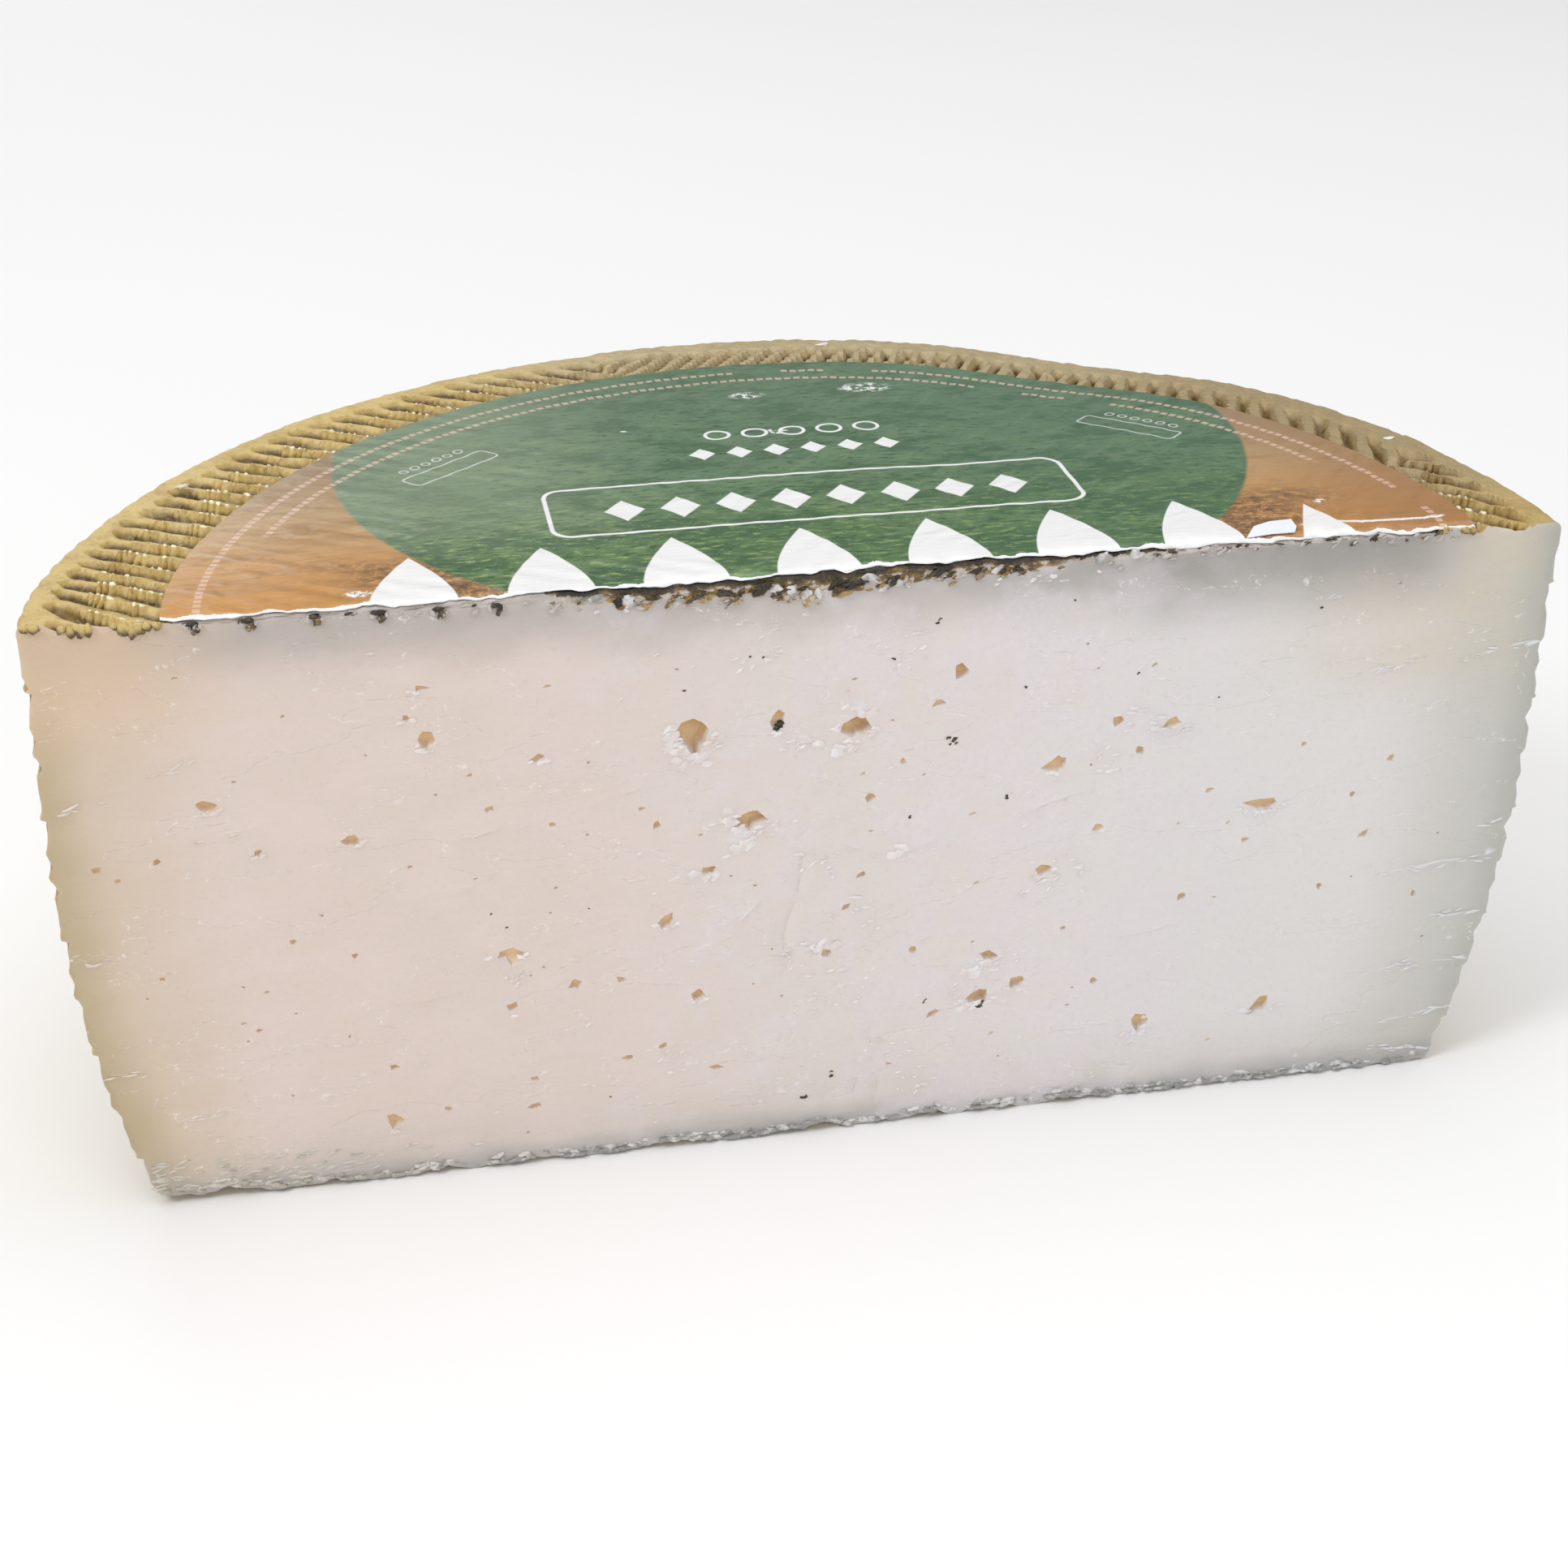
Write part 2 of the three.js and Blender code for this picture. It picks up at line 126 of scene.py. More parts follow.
# The eyes of the cut side, seen from the front: x, z, width, height and lean in degrees. Some have a
# second lobe, which is given the same way after them. The small ones are listed by themselves.
LARGE_EYES = (
    ((-18.2, 68.2, 5, 3.4, 0), (-17.4, 66.6, 2.2, 3.8, 0)),
    ((-6.5, 69.1, 1.6, 3.4, -20), (-6.6, 68.5, 2.8, 1.3, 10)),
    ((4.6, 66.8, 4.6, 3.2, 25), (5.3, 66.6, 1.8, 4, 0)),
    ((-10.3, 54, 4.2, 2.2, 15), (-10.6, 53.4, 1.8, 3.8, 10)), ((-54.2, 70.6, 2, 2.6, 5),),
    ((-83.7, 63.5, 2.6, 1.5, -20),), ((-65.4, 56.5, 2.8, 1.5, 10),),
    ((-45.4, 36.1, 4.6, 1.3, 0), (-44.6, 35.4, 1.6, 3.6, 25)), ((-18.4, 26.1, 2.2, 1.8, 25),),
    ((-22.7, 38.9, 2.8, 1.6, 45),), ((-62.9, 10, 1.7, 3, 20), (-62.6, 9.6, 2.4, 1.3, 50)),
    ((33.8, 58.2, 2.6, 2.2, 10), (33.1, 57.8, 2.9, 1.2, 10)), ((32.6, 41.1, 2.4, 1.9, 20),),
    ((50.5, 63.2, 5.6, 1.3, 15),), ((65.2, 48.4, 5.8, 1.5, -15), (66, 48.4, 2.6, 2.2, -40)),
    ((24.9, 27.5, 2.8, 1.6, -30),), ((29.3, 22.3, 3, 1.8, 10),),
    ((23.4, 20.5, 4.2, 2, 15), (23.9, 20.3, 2, 2.8, 0)),
    ((48.6, 12.9, 1.7, 3.6, -10), (48.8, 12.9, 3.2, 1.5, -25)), ((67.9, 13.9, 5.4, 2, 32),),
)
SMALL_EYES = (
    (-54.6, 78.4, 2.6, 0.8, 0), (-56.7, 74.2, 1.4, 1, 0), (-39.4, 66.6, 2.2, 1.1, 15),
    (-77.9, 55.9, 1.5, 0.9, 10), (-91.3, 55.9, 1.2, 1, 0), (-99.2, 55.5, 1.3, 1, 30),
    (-46.5, 59.3, 1.5, 0.8, 20), (-38, 56, 1.2, 0.8, -20), (-23.6, 54.4, 2, 1.2, 30),
    (19.5, 74.1, 2.4, 2.2, -40), (16.6, 69.6, 2.8, 1, 20), (42.5, 64, 1.5, 2, 0), (46, 59.2, 1.2, 1.6, 10),
    (6.8, 55.6, 1.8, 1.3, 0), (-16.3, 46.5, 2.4, 1.2, 0), (5.7, 43.4, 1.8, 1, 30), (3.3, 38.2, 1.6, 0.9, 20),
    (-74.6, 41.5, 1.5, 0.8, 0), (-36.1, 29.9, 1.9, 1.6, 10), (-29.5, 29.9, 1.5, 1.2, 0),
    (-45.1, 27.3, 1.8, 1.2, 30), (40.5, 47.3, 2, 1.1, 10), (79.1, 48.7, 0.9, 1, 0), (81.5, 41.8, 1.9, 1, 30),
    (63, 42.8, 1.3, 1, 20), (84.5, 54.2, 1.2, 1.5, 0), (54, 34.3, 1.6, 1.2, 30), (75.4, 33.7, 1, 1.3, 0),
    (13.4, 29.7, 1.2, 1.6, 0), (0.4, 30.8, 1.4, 1.6, 20), (16.7, 18.5, 2, 1, 35), (41.1, 21.2, 1.6, 1.2, 0),
    (-62.4, 19.2, 1.6, 0.9, 0), (-55.3, 11, 1.2, 0.9, 0), (-42.8, 9.8, 2, 0.9, 15),
    (-42.7, 14.5, 1.5, 0.8, 0), (-23.7, 17.9, 1.6, 1, 20), (-28.8, 16.5, 1.8, 0.8, 10),
    (-15.9, 13.2, 1.9, 0.9, -10), (-25.7, 57.2, 1.3, 0.6, 10), (-96.7, 53.6, 0.9, 0.7, 0),
    (-66.4, 38.3, 0.9, 0.8, 0), (11.4, 60.8, 0.8, 1.3, 20), (57, 51.7, 1.4, 0.8, 10), (70.7, 57.8, 1, 0.7, 0),
    (90.6, 30.7, 0.8, 1.2, 0), (-80.5, 27.7, 1, 0.7, 0), (-92.6, 37.6, 0.8, 0.6, 0), (36, 30.9, 1, 0.8, 20),
    (10, 10.4, 1.1, 0.7, 0),
)
EYES = LARGE_EYES + tuple((eye,) for eye in SMALL_EYES)
FLAKED_EYES = 24  # how many of them have flakes on their lower lips
# Crumbly places of the cut side: x, z and reach
CRUMBLY = (
    (-18.3, 66.4, 5), (-10, 52.6, 5), (3.7, 66.3, 5), (-4.3, 64.3, 3), (50.9, 62.2, 5), (42, 58.2, 4),
    (32.3, 38.4, 5), (44.8, 64.1, 4), (23.6, 22.7, 6), (26.6, 26.6, 4), (5.3, 36.7, 7), (1.5, 24.8, 7),
    (8.8, 12.9, 6), (-3.6, 30.8, 5), (48.1, 11.5, 5), (65.4, 47.2, 4), (13.9, 6.9, 5), (-22.3, 15.2, 4),
    (36.3, 41.4, 4), (-44.5, 32.2, 3), (-0.9, 45.6, 5), (11.4, 78, 6), (-9.6, 79.1, 5),
)
# Specks of dark mould on the cut side: x, z and width
SPECKS = (
    (-6.7, 67.9, 1), (17.9, 64.1, 0.6), (18.6, 63.6, 0.8), (19, 63, 0.5), (18.1, 62.9, 0.5),
    (23.7, 19.1, 0.9), (24.2, 19.4, 0.6), (-2.6, 6.1, 0.8), (1.2, 9.3, 0.7), (1.4, 10.1, 0.5),
    (-45.2, 40.5, 0.5), (-47.2, 42.9, 0.4), (12.4, 52, 0.5), (-33.5, 42.2, 0.3), (-10.1, 78.9, 0.4),
    (-8.3, 78.7, 0.4), (-19.2, 74.7, 0.4), (-20.1, 78.1, 0.3), (9.9, 76.9, 0.5), (28.8, 70.7, 0.5),
    (-31.7, 10, 0.3), (26.6, 53.7, 0.6), (15.9, 81.6, 0.6), (16.2, 82.1, 0.5), (35.2, 83.4, 0.4),
    (45, 71.5, 0.4), (15.1, 20.6, 0.4), (15.4, 21, 0.4), (71.2, 79.1, 0.5), (57.3, 66.6, 0.3),
)
# Lines along which the knife tore the paste up: x and z of both ends, the torn one first
TEARS = (
    ((105, 71.3), (93, 69.2)), ((87, 69.5), (76, 68.2)), ((103.5, 41.6), (98, 41)), ((103.5, 36), (82, 34.4)),
    ((103, 26.8), (92, 26.2)), ((101.5, 18.7), (82, 17)), ((99, 9.7), (86, 7.8)), ((97, 2), (82, 4)),
    ((-84.5, 70.9), (-91.6, 68.6)), ((-102.5, 64.6), (-95.3, 65.7)), ((-77.3, 59.2), (-86.5, 58)),
    ((-103, 41.1), (-98, 41)), ((-101.7, 22.3), (-96, 22.3)), ((-86.4, 14.7), (-93.8, 13.6)),
)
# Shallow steps that the knife left: x and z of both ends
STEPS = (
    ((-51.6, 53.9), (-41, 56.9)), ((-41, 56.9), (-36.4, 55.3)), ((-32.6, 58.1), (-24.7, 60.2)),
    ((-42.1, 36.2), (-30.2, 39)), ((-52.1, 46.1), (-46.2, 48.5)), ((2.5, 48), (9.7, 46)),
    ((9.7, 46), (18, 47.6)), ((-15.6, 34.5), (-7.9, 41.7)), ((-61, 29), (-50, 31)), ((30, 51), (38, 53)),
    ((44, 28), (57, 30)), ((70, 80), (80, 81.5)),
)
# Fine cracks: x and z at the upper and lower end, sideways waver and depth
CRACKS = (
    ((-1.5, 52), (-7, 26), 1.9, 0.22), ((7.5, 24), (9, 2), 2, 0.26), ((5.5, 15), (6, 3), 1.4, 0.2),
    ((-8, 34), (-4, 24), 1.2, 0.18), ((11, 20), (17, 12), 1.2, 0.16), ((-30, 85), (-28, 80), 0.6, 0.12),
)
STEP_WAVER, STEP_DEPTH = 0.6, -0.18
LINES = CRACKS + tuple((*line, STEP_WAVER, STEP_DEPTH) for line in STEPS + TEARS)
# Pale torn faces beside the larger eyes: x, z, half width and half height
FACES = (
    (-21, 67.7, 1.3, 2), (-18.8, 64.2, 3.4, 1.1), (4.6, 69.4, 2, 1.1), (-13.2, 54.8, 1.3, 1.4),
    (-12.4, 50.9, 2.6, 1.6), (-16.8, 45.6, 1.6, 0.7), (0.4, 31.8, 1.7, 1.1), (23.4, 25.6, 2.2, 1.3),
    (21.8, 18.6, 2.4, 1), (11.4, 46.1, 2.2, 0.9), (2.2, 63.6, 2.2, 0.8),
)
# Teeth of rind that hang under the torn edge of the label at the left: x and width
TEETH = ((-83.5, 2.2), (-76.5, 2.4), (-68, 2), (-59.8, 2.2), (-52, 1.8), (-44.5, 1.4))
# Lumps of one tooth: x, y, reach out of the cut, z, half width as a share of the tooth's, half depth, half
# height, tone and lean
TOOTH_LUMPS = (
    (0, -0.05, 0.5, 0.4, 0.45, 0.35, 0.35, 1, 0.1), (0.5, -0.1, 0.5, -0.3, 0.28, 0.35, 0.75, 0.75, -0.4),
    (-0.7, -0.1, 0.45, 0, 0.2, 0.3, 0.5, 0.45, 0.3), (1.1, -0.1, 0.4, 0, 0.14, 0.25, 0.35, 0.2, 0.3),
)
# Rows of lumps of rind at the upper corners of the cut: x, half width and drop
CORNER_LUMPS = ((-97.8, 2, 2), (-90.6, 3, 2.4), (-103.4, 1.2, 0.9), (91.3, 0.8, 1.7))
CHIPS = ((94.4, 36.5), (19.1, 99.5), (-86, 52))  # bare white spots of the crown: x and y
# Outline of the label's folded corner: x and y
FLAP = ((59.0, 1.0), (62.5, 0.9), (66.0, 1.1), (66.6, 2.2), (66.4, 3.9), (63.2, 3.8), (60.6, 2.8))

# The label's print, in millimetres from the wheel's axis
PRINT_SLANTS = (148, 52)  # of the ridges that print through at the left and at the right, in degrees
PETALS = (18.0, 5.8, 15.4, -64.0, 80.0)  # pitch, half width, height, from and to
DASHES = ((85.3, 3), (81.4, 9))  # radius and seed of the rings of dashes
DASH_PITCH = 1.5
FIELD_MIDDLE, FIELD_RADIUS = (4.2, 51), 68.6  # of the green field
FRAME = ((3.4, 27.5), (38.2, 9.1), 3.0)  # middle, half size and corner
SMALL_FRAMES = ((40, -48, 51), (-45, 58, 49))  # turn and middle
SCUFFS = ((1.5, 73.5, 3.5), (21, 74, 5.2), (3, 55.5, 2.4), (74, 12, 1.6), (-62, 4, 2.4), (-20, 60, 0.8))

# Meshes: rows of the crown and of the lip, and steps of the grids of points in millimetres
CROWN_ROWS, LIP_ROWS = 62, 6
CUT_GRID, UNDER_GRID, LABEL_GRID = 1.45, 5.0, 1.2
RIM_ROOM, SIDE_ROOM = 1.3, 2.6  # how far the points of the cut side stay from its outline
PIN_HOLES = 60
LABEL_POINTS = 290  # round the label's arc

# The camera fitted to the photograph, in the wheel's own frame
CAMERA_LENS = 57.068
CAMERA_PLACE = (-60.851, -301.093, 219.686)
CAMERA_FORWARD = (0.15991, 0.87102, -0.46449)
CAMERA_ROLL = -0.3811  # in degrees
# Lights: place and aim in metres, size and power
LIGHTS = (
    ("overhead", (0.1, 0.3, 1.8), (0, 0.1, 0), (2.6, 2.6), 27),
    ("front", (0.25, -1.35, 0.75), (0, 0, 0.04), (1.4, 0.9), 5),
    ("left", (-0.85, -0.45, 1.0), (0, 0, 0.07), (0.4, 0.4), 5),
    ("window", (-0.31, 1.1, 0.42), (0, 0, 0.09), (0.42, 0.35), 0.45),
)

rng = np.random.default_rng(20)
TURN = math.pi / 180
columns = np.column_stack


# Numbers

def hashed(ix, iy, seed):
    """A repeatable value from 0 to 1 for whole numbers."""
    h = (ix * 374761393 + iy * 668265263 + seed * 982451653) & 0xFFFFFFFF
    h = ((h ^ (h >> 13)) * 1274126177) & 0xFFFFFFFF
    return ((h ^ (h >> 16)) & 0xFFFF) / 65535.0


def noise(x, y, seed=0):
    """Smooth noise from -1 to 1 over a plane, one cell a unit."""
    x, y = np.broadcast_arrays(np.asarray(x, float), np.asarray(y, float))
    ix, iy = np.floor(x).astype(np.int64), np.floor(y).astype(np.int64)
    fx, fy = x - ix, y - iy
    fx, fy = fx * fx * (3 - 2 * fx), fy * fy * (3 - 2 * fy)
    low = hashed(ix, iy, seed) * (1 - fx) + hashed(ix + 1, iy, seed) * fx
    high = hashed(ix, iy + 1, seed) * (1 - fx) + hashed(ix + 1, iy + 1, seed) * fx
    return 2 * (low * (1 - fy) + high * fy) - 1


def layered(x, y, seed=0, octaves=3):
    """Noise with finer and fainter layers on top."""
    total, reach = 0.0, 0.0
    for k in range(octaves):
        total = total + noise(np.asarray(x) * 2 ** k, np.asarray(y) * 2 ** k, seed + 17 * k) * 0.55 ** k
        reach += 0.55 ** k
    return total / reach


def smooth(low, high, value):
    t = np.clip((np.asarray(value, float) - low) / (high - low), 0, 1)
    return t * t * (3 - 2 * t)


def bell(value, middle, width):
    return np.exp(-(((np.asarray(value, float) - middle) / width) ** 2))


def wall_radius(z):
    z = np.asarray(z, float)
    foot = FOOT_TAPER * (np.clip(WAIST_Z - z, 0, None) / WAIST_Z) ** 2
    crown = CROWN_TAPER * (np.clip(z - WAIST_Z, 0, None) / (WHEEL_HEIGHT - WAIST_Z)) ** 2
    return WHEEL_RADIUS - foot - crown


def crown_rise(x, y):
    out = np.clip(np.hypot(x, y) / WHEEL_RADIUS, 0, 1)
    heading = np.degrees(np.arctan2(np.abs(y), x))
    sag = SAG_DEPTH * bell(heading, SAG_HEADING, SAG_SPREAD) * out ** 2
    lift = LIFT_HEIGHT * bell(heading, 180, LIFT_SPREAD) * out ** 4
    return DOME_RISE * (1 - out ** 2) - sag + lift


def settle(points):
    """Gives the crown its dome, sag and lift, curls the left end of the foot up, and lets the wheel lean."""
    x, y, z = np.asarray(points, float).T
    curl = FOOT_LIFT * smooth(*FOOT_LIFT_FROM, -x) * (1 - smooth(0, 14, z))
    z = z + crown_rise(x, y) * z / WHEEL_HEIGHT + curl
    return columns((x + LEAN * (z - LEAN_Z), y, z))


def unsettled(x, z):
    """The place on the straight wheel's cut side of a place seen on the settled one."""
    x = np.asarray(x, float) - LEAN * (np.asarray(z, float) - LEAN_Z)
    return x, z / (1 + crown_rise(x, 0 * x) / WHEEL_HEIGHT)


def paste_top(x):
    """Where the paste ends and the rind begins along the cut, before it is settled."""
    ragged = (0.25 + 0.75 * bell(x, 2, 30)) * layered(np.asarray(x) / 3.0, 0.5, 41)
    seen = np.interp(x, *np.array(PASTE_TOP).T) + ragged
    return np.minimum(seen / (1 + crown_rise(x, 0 * np.asarray(x)) / WHEEL_HEIGHT), crown_edge(x) - 0.2)


def droop(x, behind):
    """How far the torn edge of the label hangs down, and the cheese's edge under it."""
    low = 0.35 + 0.35 * smooth(25, 50, x)
    hang = np.clip(low + 0.7 * layered(np.asarray(x) / 5.5, 0.5, 87), 0, 1.2)
    return hang * np.exp(-np.asarray(behind) / 0.8)


def crown_edge(x):
    """Height of the front edge of the cheese under the label."""
    return WHEEL_HEIGHT - 0.1 + 0.1 * noise(np.asarray(x) / 2.2, 0.5, 40) - droop(x, 0)


# Relief of the rind

def across_and_along(x, y, slant):
    t = slant * TURN
    return -x * math.sin(t) + y * math.cos(t), x * math.cos(t) + y * math.sin(t)


def beaded_ridges(x, y, slant, teeth):
    """Terraced rows, 0 in a gap and 1 on a crest: a plate that rises gently, and a steep front with teeth."""
    across, along = across_and_along(x, y, slant)
    across = across + 0.8 * noise(x / 12, y / 12, 3) + 0.32 * noise(x / 3.1, y / 3.1, 4)
    phase = across / RIDGE_PITCH
    row = np.floor(phase + 0.5)
    f = phase - row
    place = (along + 0.25 * across) / BEAD_PITCH + 0.5 * row + 0.7 * noise(along / 2.6, row * 7.3, 5)
    size = teeth * np.clip(0.85 + 0.7 * noise(along / 1.9, row * 3.1, 6), 0.1, 1.35)
    bead = (1 - np.abs(2 * (place % 1) - 1) ** 2) * size
    step = 0.1 + 0.2 * bead + 0.12 * noise(along / 6, row * 1.7, 9)
    front = 1 - smooth(step - 0.05, step + 0.12, f)
    under = 0.34 - 0.34 * bell(f, 0.41, 0.1)
    plate = 0.34 + 0.4 * smooth(-0.5, 0.0, f)
    tip = (0.5 * bead - 0.12 * teeth) * bell(f, 0.2, 0.1)
    return np.clip(under + (plate + tip - under) * front, 0, 1.08), phase


def round_ridges(x, y):
    """Broad ridges that fan out, 0 in a groove and 1 on a crest."""
    lean, less = BACK_FAN
    back = y - 60
    start = (x - lean * back) / (1 - less * back) + 0.8 * noise(x / 9, y / 9, 7)
    start = start + 0.25 * noise(x / 2, y / 2, 8)
    f = np.abs(start / BACK_STEP - np.floor(start / BACK_STEP + 0.5)) * 2
    return 1 - smooth(0.45, 0.78, f)


def crown_relief(x, y):
    """How high the crown's rind stands, 0 at the floor of the grooves and 1 on the crests."""
    r = np.hypot(x, y)
    heading = np.degrees(np.arctan2(y, x))
    wander = r + 0.9 * noise(heading / 2.1, r / 9, 10)
    left_teeth = 1 - smooth(*LEFT_TEETH_END, wander)
    right_teeth = 1.15 * (1 - smooth(*RIGHT_TEETH_END, wander))
    left, left_phase = beaded_ridges(x, y, FIELDS["left"][2], left_teeth)
    right, right_phase = beaded_ridges(x, y, FIELDS["right"][2], right_teeth)
    phase = np.where(heading > 90, left_phase, right_phase)
    lip = smooth(LIP_RADIUS - 1.2, LIP_RADIUS, wander + 0.6 * np.cos(2 * math.pi * phase))
    pit = 0.8 * bell(wander, PIT_RADIUS, 1.7) * bell((phase + 0.12) % 1 - 0.5, 0, 0.22)
    left, right = [np.maximum(v - pit * (1 - lip), lip * 0.84) for v in (left, right)]
    back = 1 - (1 - round_ridges(x, y)) * (1 - 0.93 * smooth(*BACK_END, wander))
    shift = heading + 0.9 * noise(x / 4, y / 4, 13)
    to_left = smooth(FIELDS["left"][0] - 1.2, FIELDS["left"][0] + 1.2, shift)
    to_right = 1 - smooth(FIELDS["right"][1] - 1.2, FIELDS["right"][1] + 1.2, shift)
    blend = left * to_left + right * to_right + back * (1 - to_left - to_right)
    blend = blend + 0.05 * noise(x / 0.9, y / 0.9, 14) + 0.07 * noise(x / 3.1, y / 3.1, 15)
    dragged = (1 - smooth(0, 1.3, y)) * 0.4
    return blend + (0.88 - blend) * dragged


def wall_relief(heading, z):
    """How deep the plaited strokes are cut at a heading in degrees and a height, from 0 to 1."""
    band = (z - FIRST_BAND_Z) / BAND_HEIGHT
    zigzag = np.abs((band + 1) % 2 - 1)
    run = heading - STROKE_START
    arc = run * TURN * WHEEL_RADIUS - zigzag * BAND_HEIGHT * STROKE_SLOPE
    arc = arc + 0.5 * noise(run / 5, z / 6, 20) + 0.25 * noise(run / 1.2, z / 1.7, 21)
    f = np.abs(arc / STROKE_PITCH - np.floor(arc / STROKE_PITCH + 0.5)) * 2
    groove = (1 - f) ** 1.6
    worn = 0.75 + 0.25 * noise(run / 9, z / 12, 22)
    return np.clip(groove * worn + 0.08 * noise(run * 1.1, z / 1.4, 23), -0.1, 1)


def shingle(z):
    """How far each plaited band falls back from its lower end to its upper end."""
    share = ((z - FIRST_BAND_Z) / BAND_HEIGHT) % 1
    return BAND_STEP * share * (1 - smooth(WHEEL_HEIGHT - 11, WHEEL_HEIGHT - 5, z))


def base_relief(x, y):
    across, _ = across_and_along(x, y, GROOVE_SLANT)
    distance = np.abs((-across / GROOVE_PITCH) % 1 - 0.5) * GROOVE_PITCH
    return GROOVE_DEPTH * np.clip(1 - distance / (GROOVE_WIDTH / 2), 0, 1)


# Mesh making

class Body:
    """Points and triangles of one mesh, gathered patch by patch. Each point has a tone for its material:
    on the rind from 0 in a groove to 1 on a crest. On the cut side it goes down to -1 in an eye, and up to 3
    where the knife left a pale smear."""

    def __init__(self):
        self.points, self.tones, self.faces, self.slots, self.count = [], [], [], [], 0

    def add(self, points, tone=0.0):
        points = np.asarray(points, float).reshape(-1, 3)
        self.points.append(points)
        self.tones.append(np.broadcast_to(np.asarray(tone, float), len(points)))
        self.count += len(points)
        return np.arange(self.count - len(points), self.count)

    def face(self, triangles, slot=0):
        triangles = np.asarray(triangles, int).reshape(-1, 3)
        self.faces.append(triangles)
        self.slots.append(np.full(len(triangles), slot))

    def between(self, low, high, slot=0):
        """Joins two rows of points. One row may have half as many cells as the other."""
        if len(low) == len(high):
            a, b, c, d = low[:-1], low[1:], high[1:], high[:-1]
            self.face(np.vstack((columns((a, b, c)), columns((a, c, d)))), slot)
            return
        fine, coarse = (low, high) if len(low) > len(high) else (high, low)
        a, b, c = fine[:-1:2], fine[1::2], fine[2::2]
        d, e = coarse[:-1], coarse[1:]
        self.face(np.vstack([columns(t) for t in ((a, b, d), (b, e, d), (b, c, e))]), slot)

    def fill(self, loop, flat, inner, lift, slot=0, edges=(), tone=0.0):
        """Fills a border of points, given with its flat places, and adds inner points, which lift() puts
        in space. Returns the triangles."""
        places = np.vstack((flat, inner)) if len(inner) else flat
        new = self.add(lift(inner), tone) if len(inner) else np.empty(0, int)
        index = np.concatenate((loop, new))
        vectors = [Vector(p) for p in places.tolist()]
        result = delaunay_2d_cdt(vectors, list(edges), [list(range(len(loop)))], 1, 1e-6)
        source = [given[0] for given in result[3]]
        triangles = np.array([[source[k] for k in face] for face in result[2]])
        self.face(index[triangles], slot)
        return index[triangles]

    def mesh(self, name, materials, sharp=40.0):
        data = bpy.data.meshes.new(name)
        points = settle(np.vstack(self.points)) + (AXIS_X, CUT_Y, 0)
        data.from_pydata((points / 1000).tolist(), [], np.vstack(self.faces).tolist())
        for material in materials:
            data.materials.append(material)
        data.polygons.foreach_set("material_index", np.concatenate(self.slots))
        data.attributes.new("tone", "FLOAT", "POINT").data.foreach_set("value", np.concatenate(self.tones))
        finish_mesh(data, sharp)
        piece = bpy.data.objects.new(name, data)
        bpy.context.scene.collection.objects.link(piece)
        return piece


def finish_mesh(data, sharp):
    """Turns every face outwards, and shades smooth but for sharp edges."""
    soft = bmesh.new()
    soft.from_mesh(data)
    bmesh.ops.delete(soft, geom=[v for v in soft.verts if not v.link_faces], context="VERTS")
    bmesh.ops.recalc_face_normals(soft, faces=soft.faces)
    soft.to_mesh(data)
    soft.free()
    data.polygons.foreach_set("use_smooth", [True] * len(data.polygons))
    data.set_sharp_from_angle(angle=sharp * TURN)
    data.update()


def keep(piece, slot, *nodes):
    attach(piece, "root")
    if nodes:
        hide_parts(*nodes)
    return piece


def scattered(low, high, step, seed):
    """A staggered grid of points with a little disorder."""
    own = np.random.default_rng(seed)
    rows = np.arange(low[1], high[1], step * 0.87)
    points = []
    for k, z in enumerate(rows):
        x = np.arange(low[0] + (k % 2) * step / 2, high[0], step)
        points.append(columns((x, np.full(len(x), z))))
    points = np.vstack(points)
    return points + own.uniform(-0.18, 0.18, points.shape) * step


# The cheese

def shell_headings():
    """Headings of the shell's columns: close together where the ridges are beaded. Their number is even."""
    parts = []
    for (start, end, _), step in zip(FIELDS.values(), FIELD_STEPS):
        count = 2 * round((end - start) * TURN * COLUMN_RADIUS / step / 2)
        parts.append(np.linspace(start, end, count, endpoint=False))
    return np.append(np.concatenate(parts), 180.0)


def ring(radius, headings, z):
    a = headings * TURN
    y = np.abs(radius * np.sin(a))
    y[0] = y[-1] = 0.0
    return columns((radius * np.cos(a), y, np.broadcast_to(z, a.shape)))


def lobe_reach(lobes, turn):
    """How far the joined lobes of an eye reach from the first one's middle, at angles."""
    x, z = lobes[0][:2]
    reach = np.zeros(len(turn))
    for lx, lz, lobe_wide, lobe_high, lean in lobes:
        a = turn - lean * TURN
        c, s = np.cos(a) / (lobe_wide / 2), np.sin(a) / (lobe_high / 2)
        ox = ((x - lx) * math.cos(lean * TURN) + (z - lz) * math.sin(lean * TURN)) / (lobe_wide / 2)
        oz = (-(x - lx) * math.sin(lean * TURN) + (z - lz) * math.cos(lean * TURN)) / (lobe_high / 2)
        p, q, w = c * c + s * s, c * ox + s * oz, ox * ox + oz * oz - 1
        reach = np.maximum(reach, (-q + np.sqrt(np.clip(q * q - p * w, 0, None))) / p)
    return reach


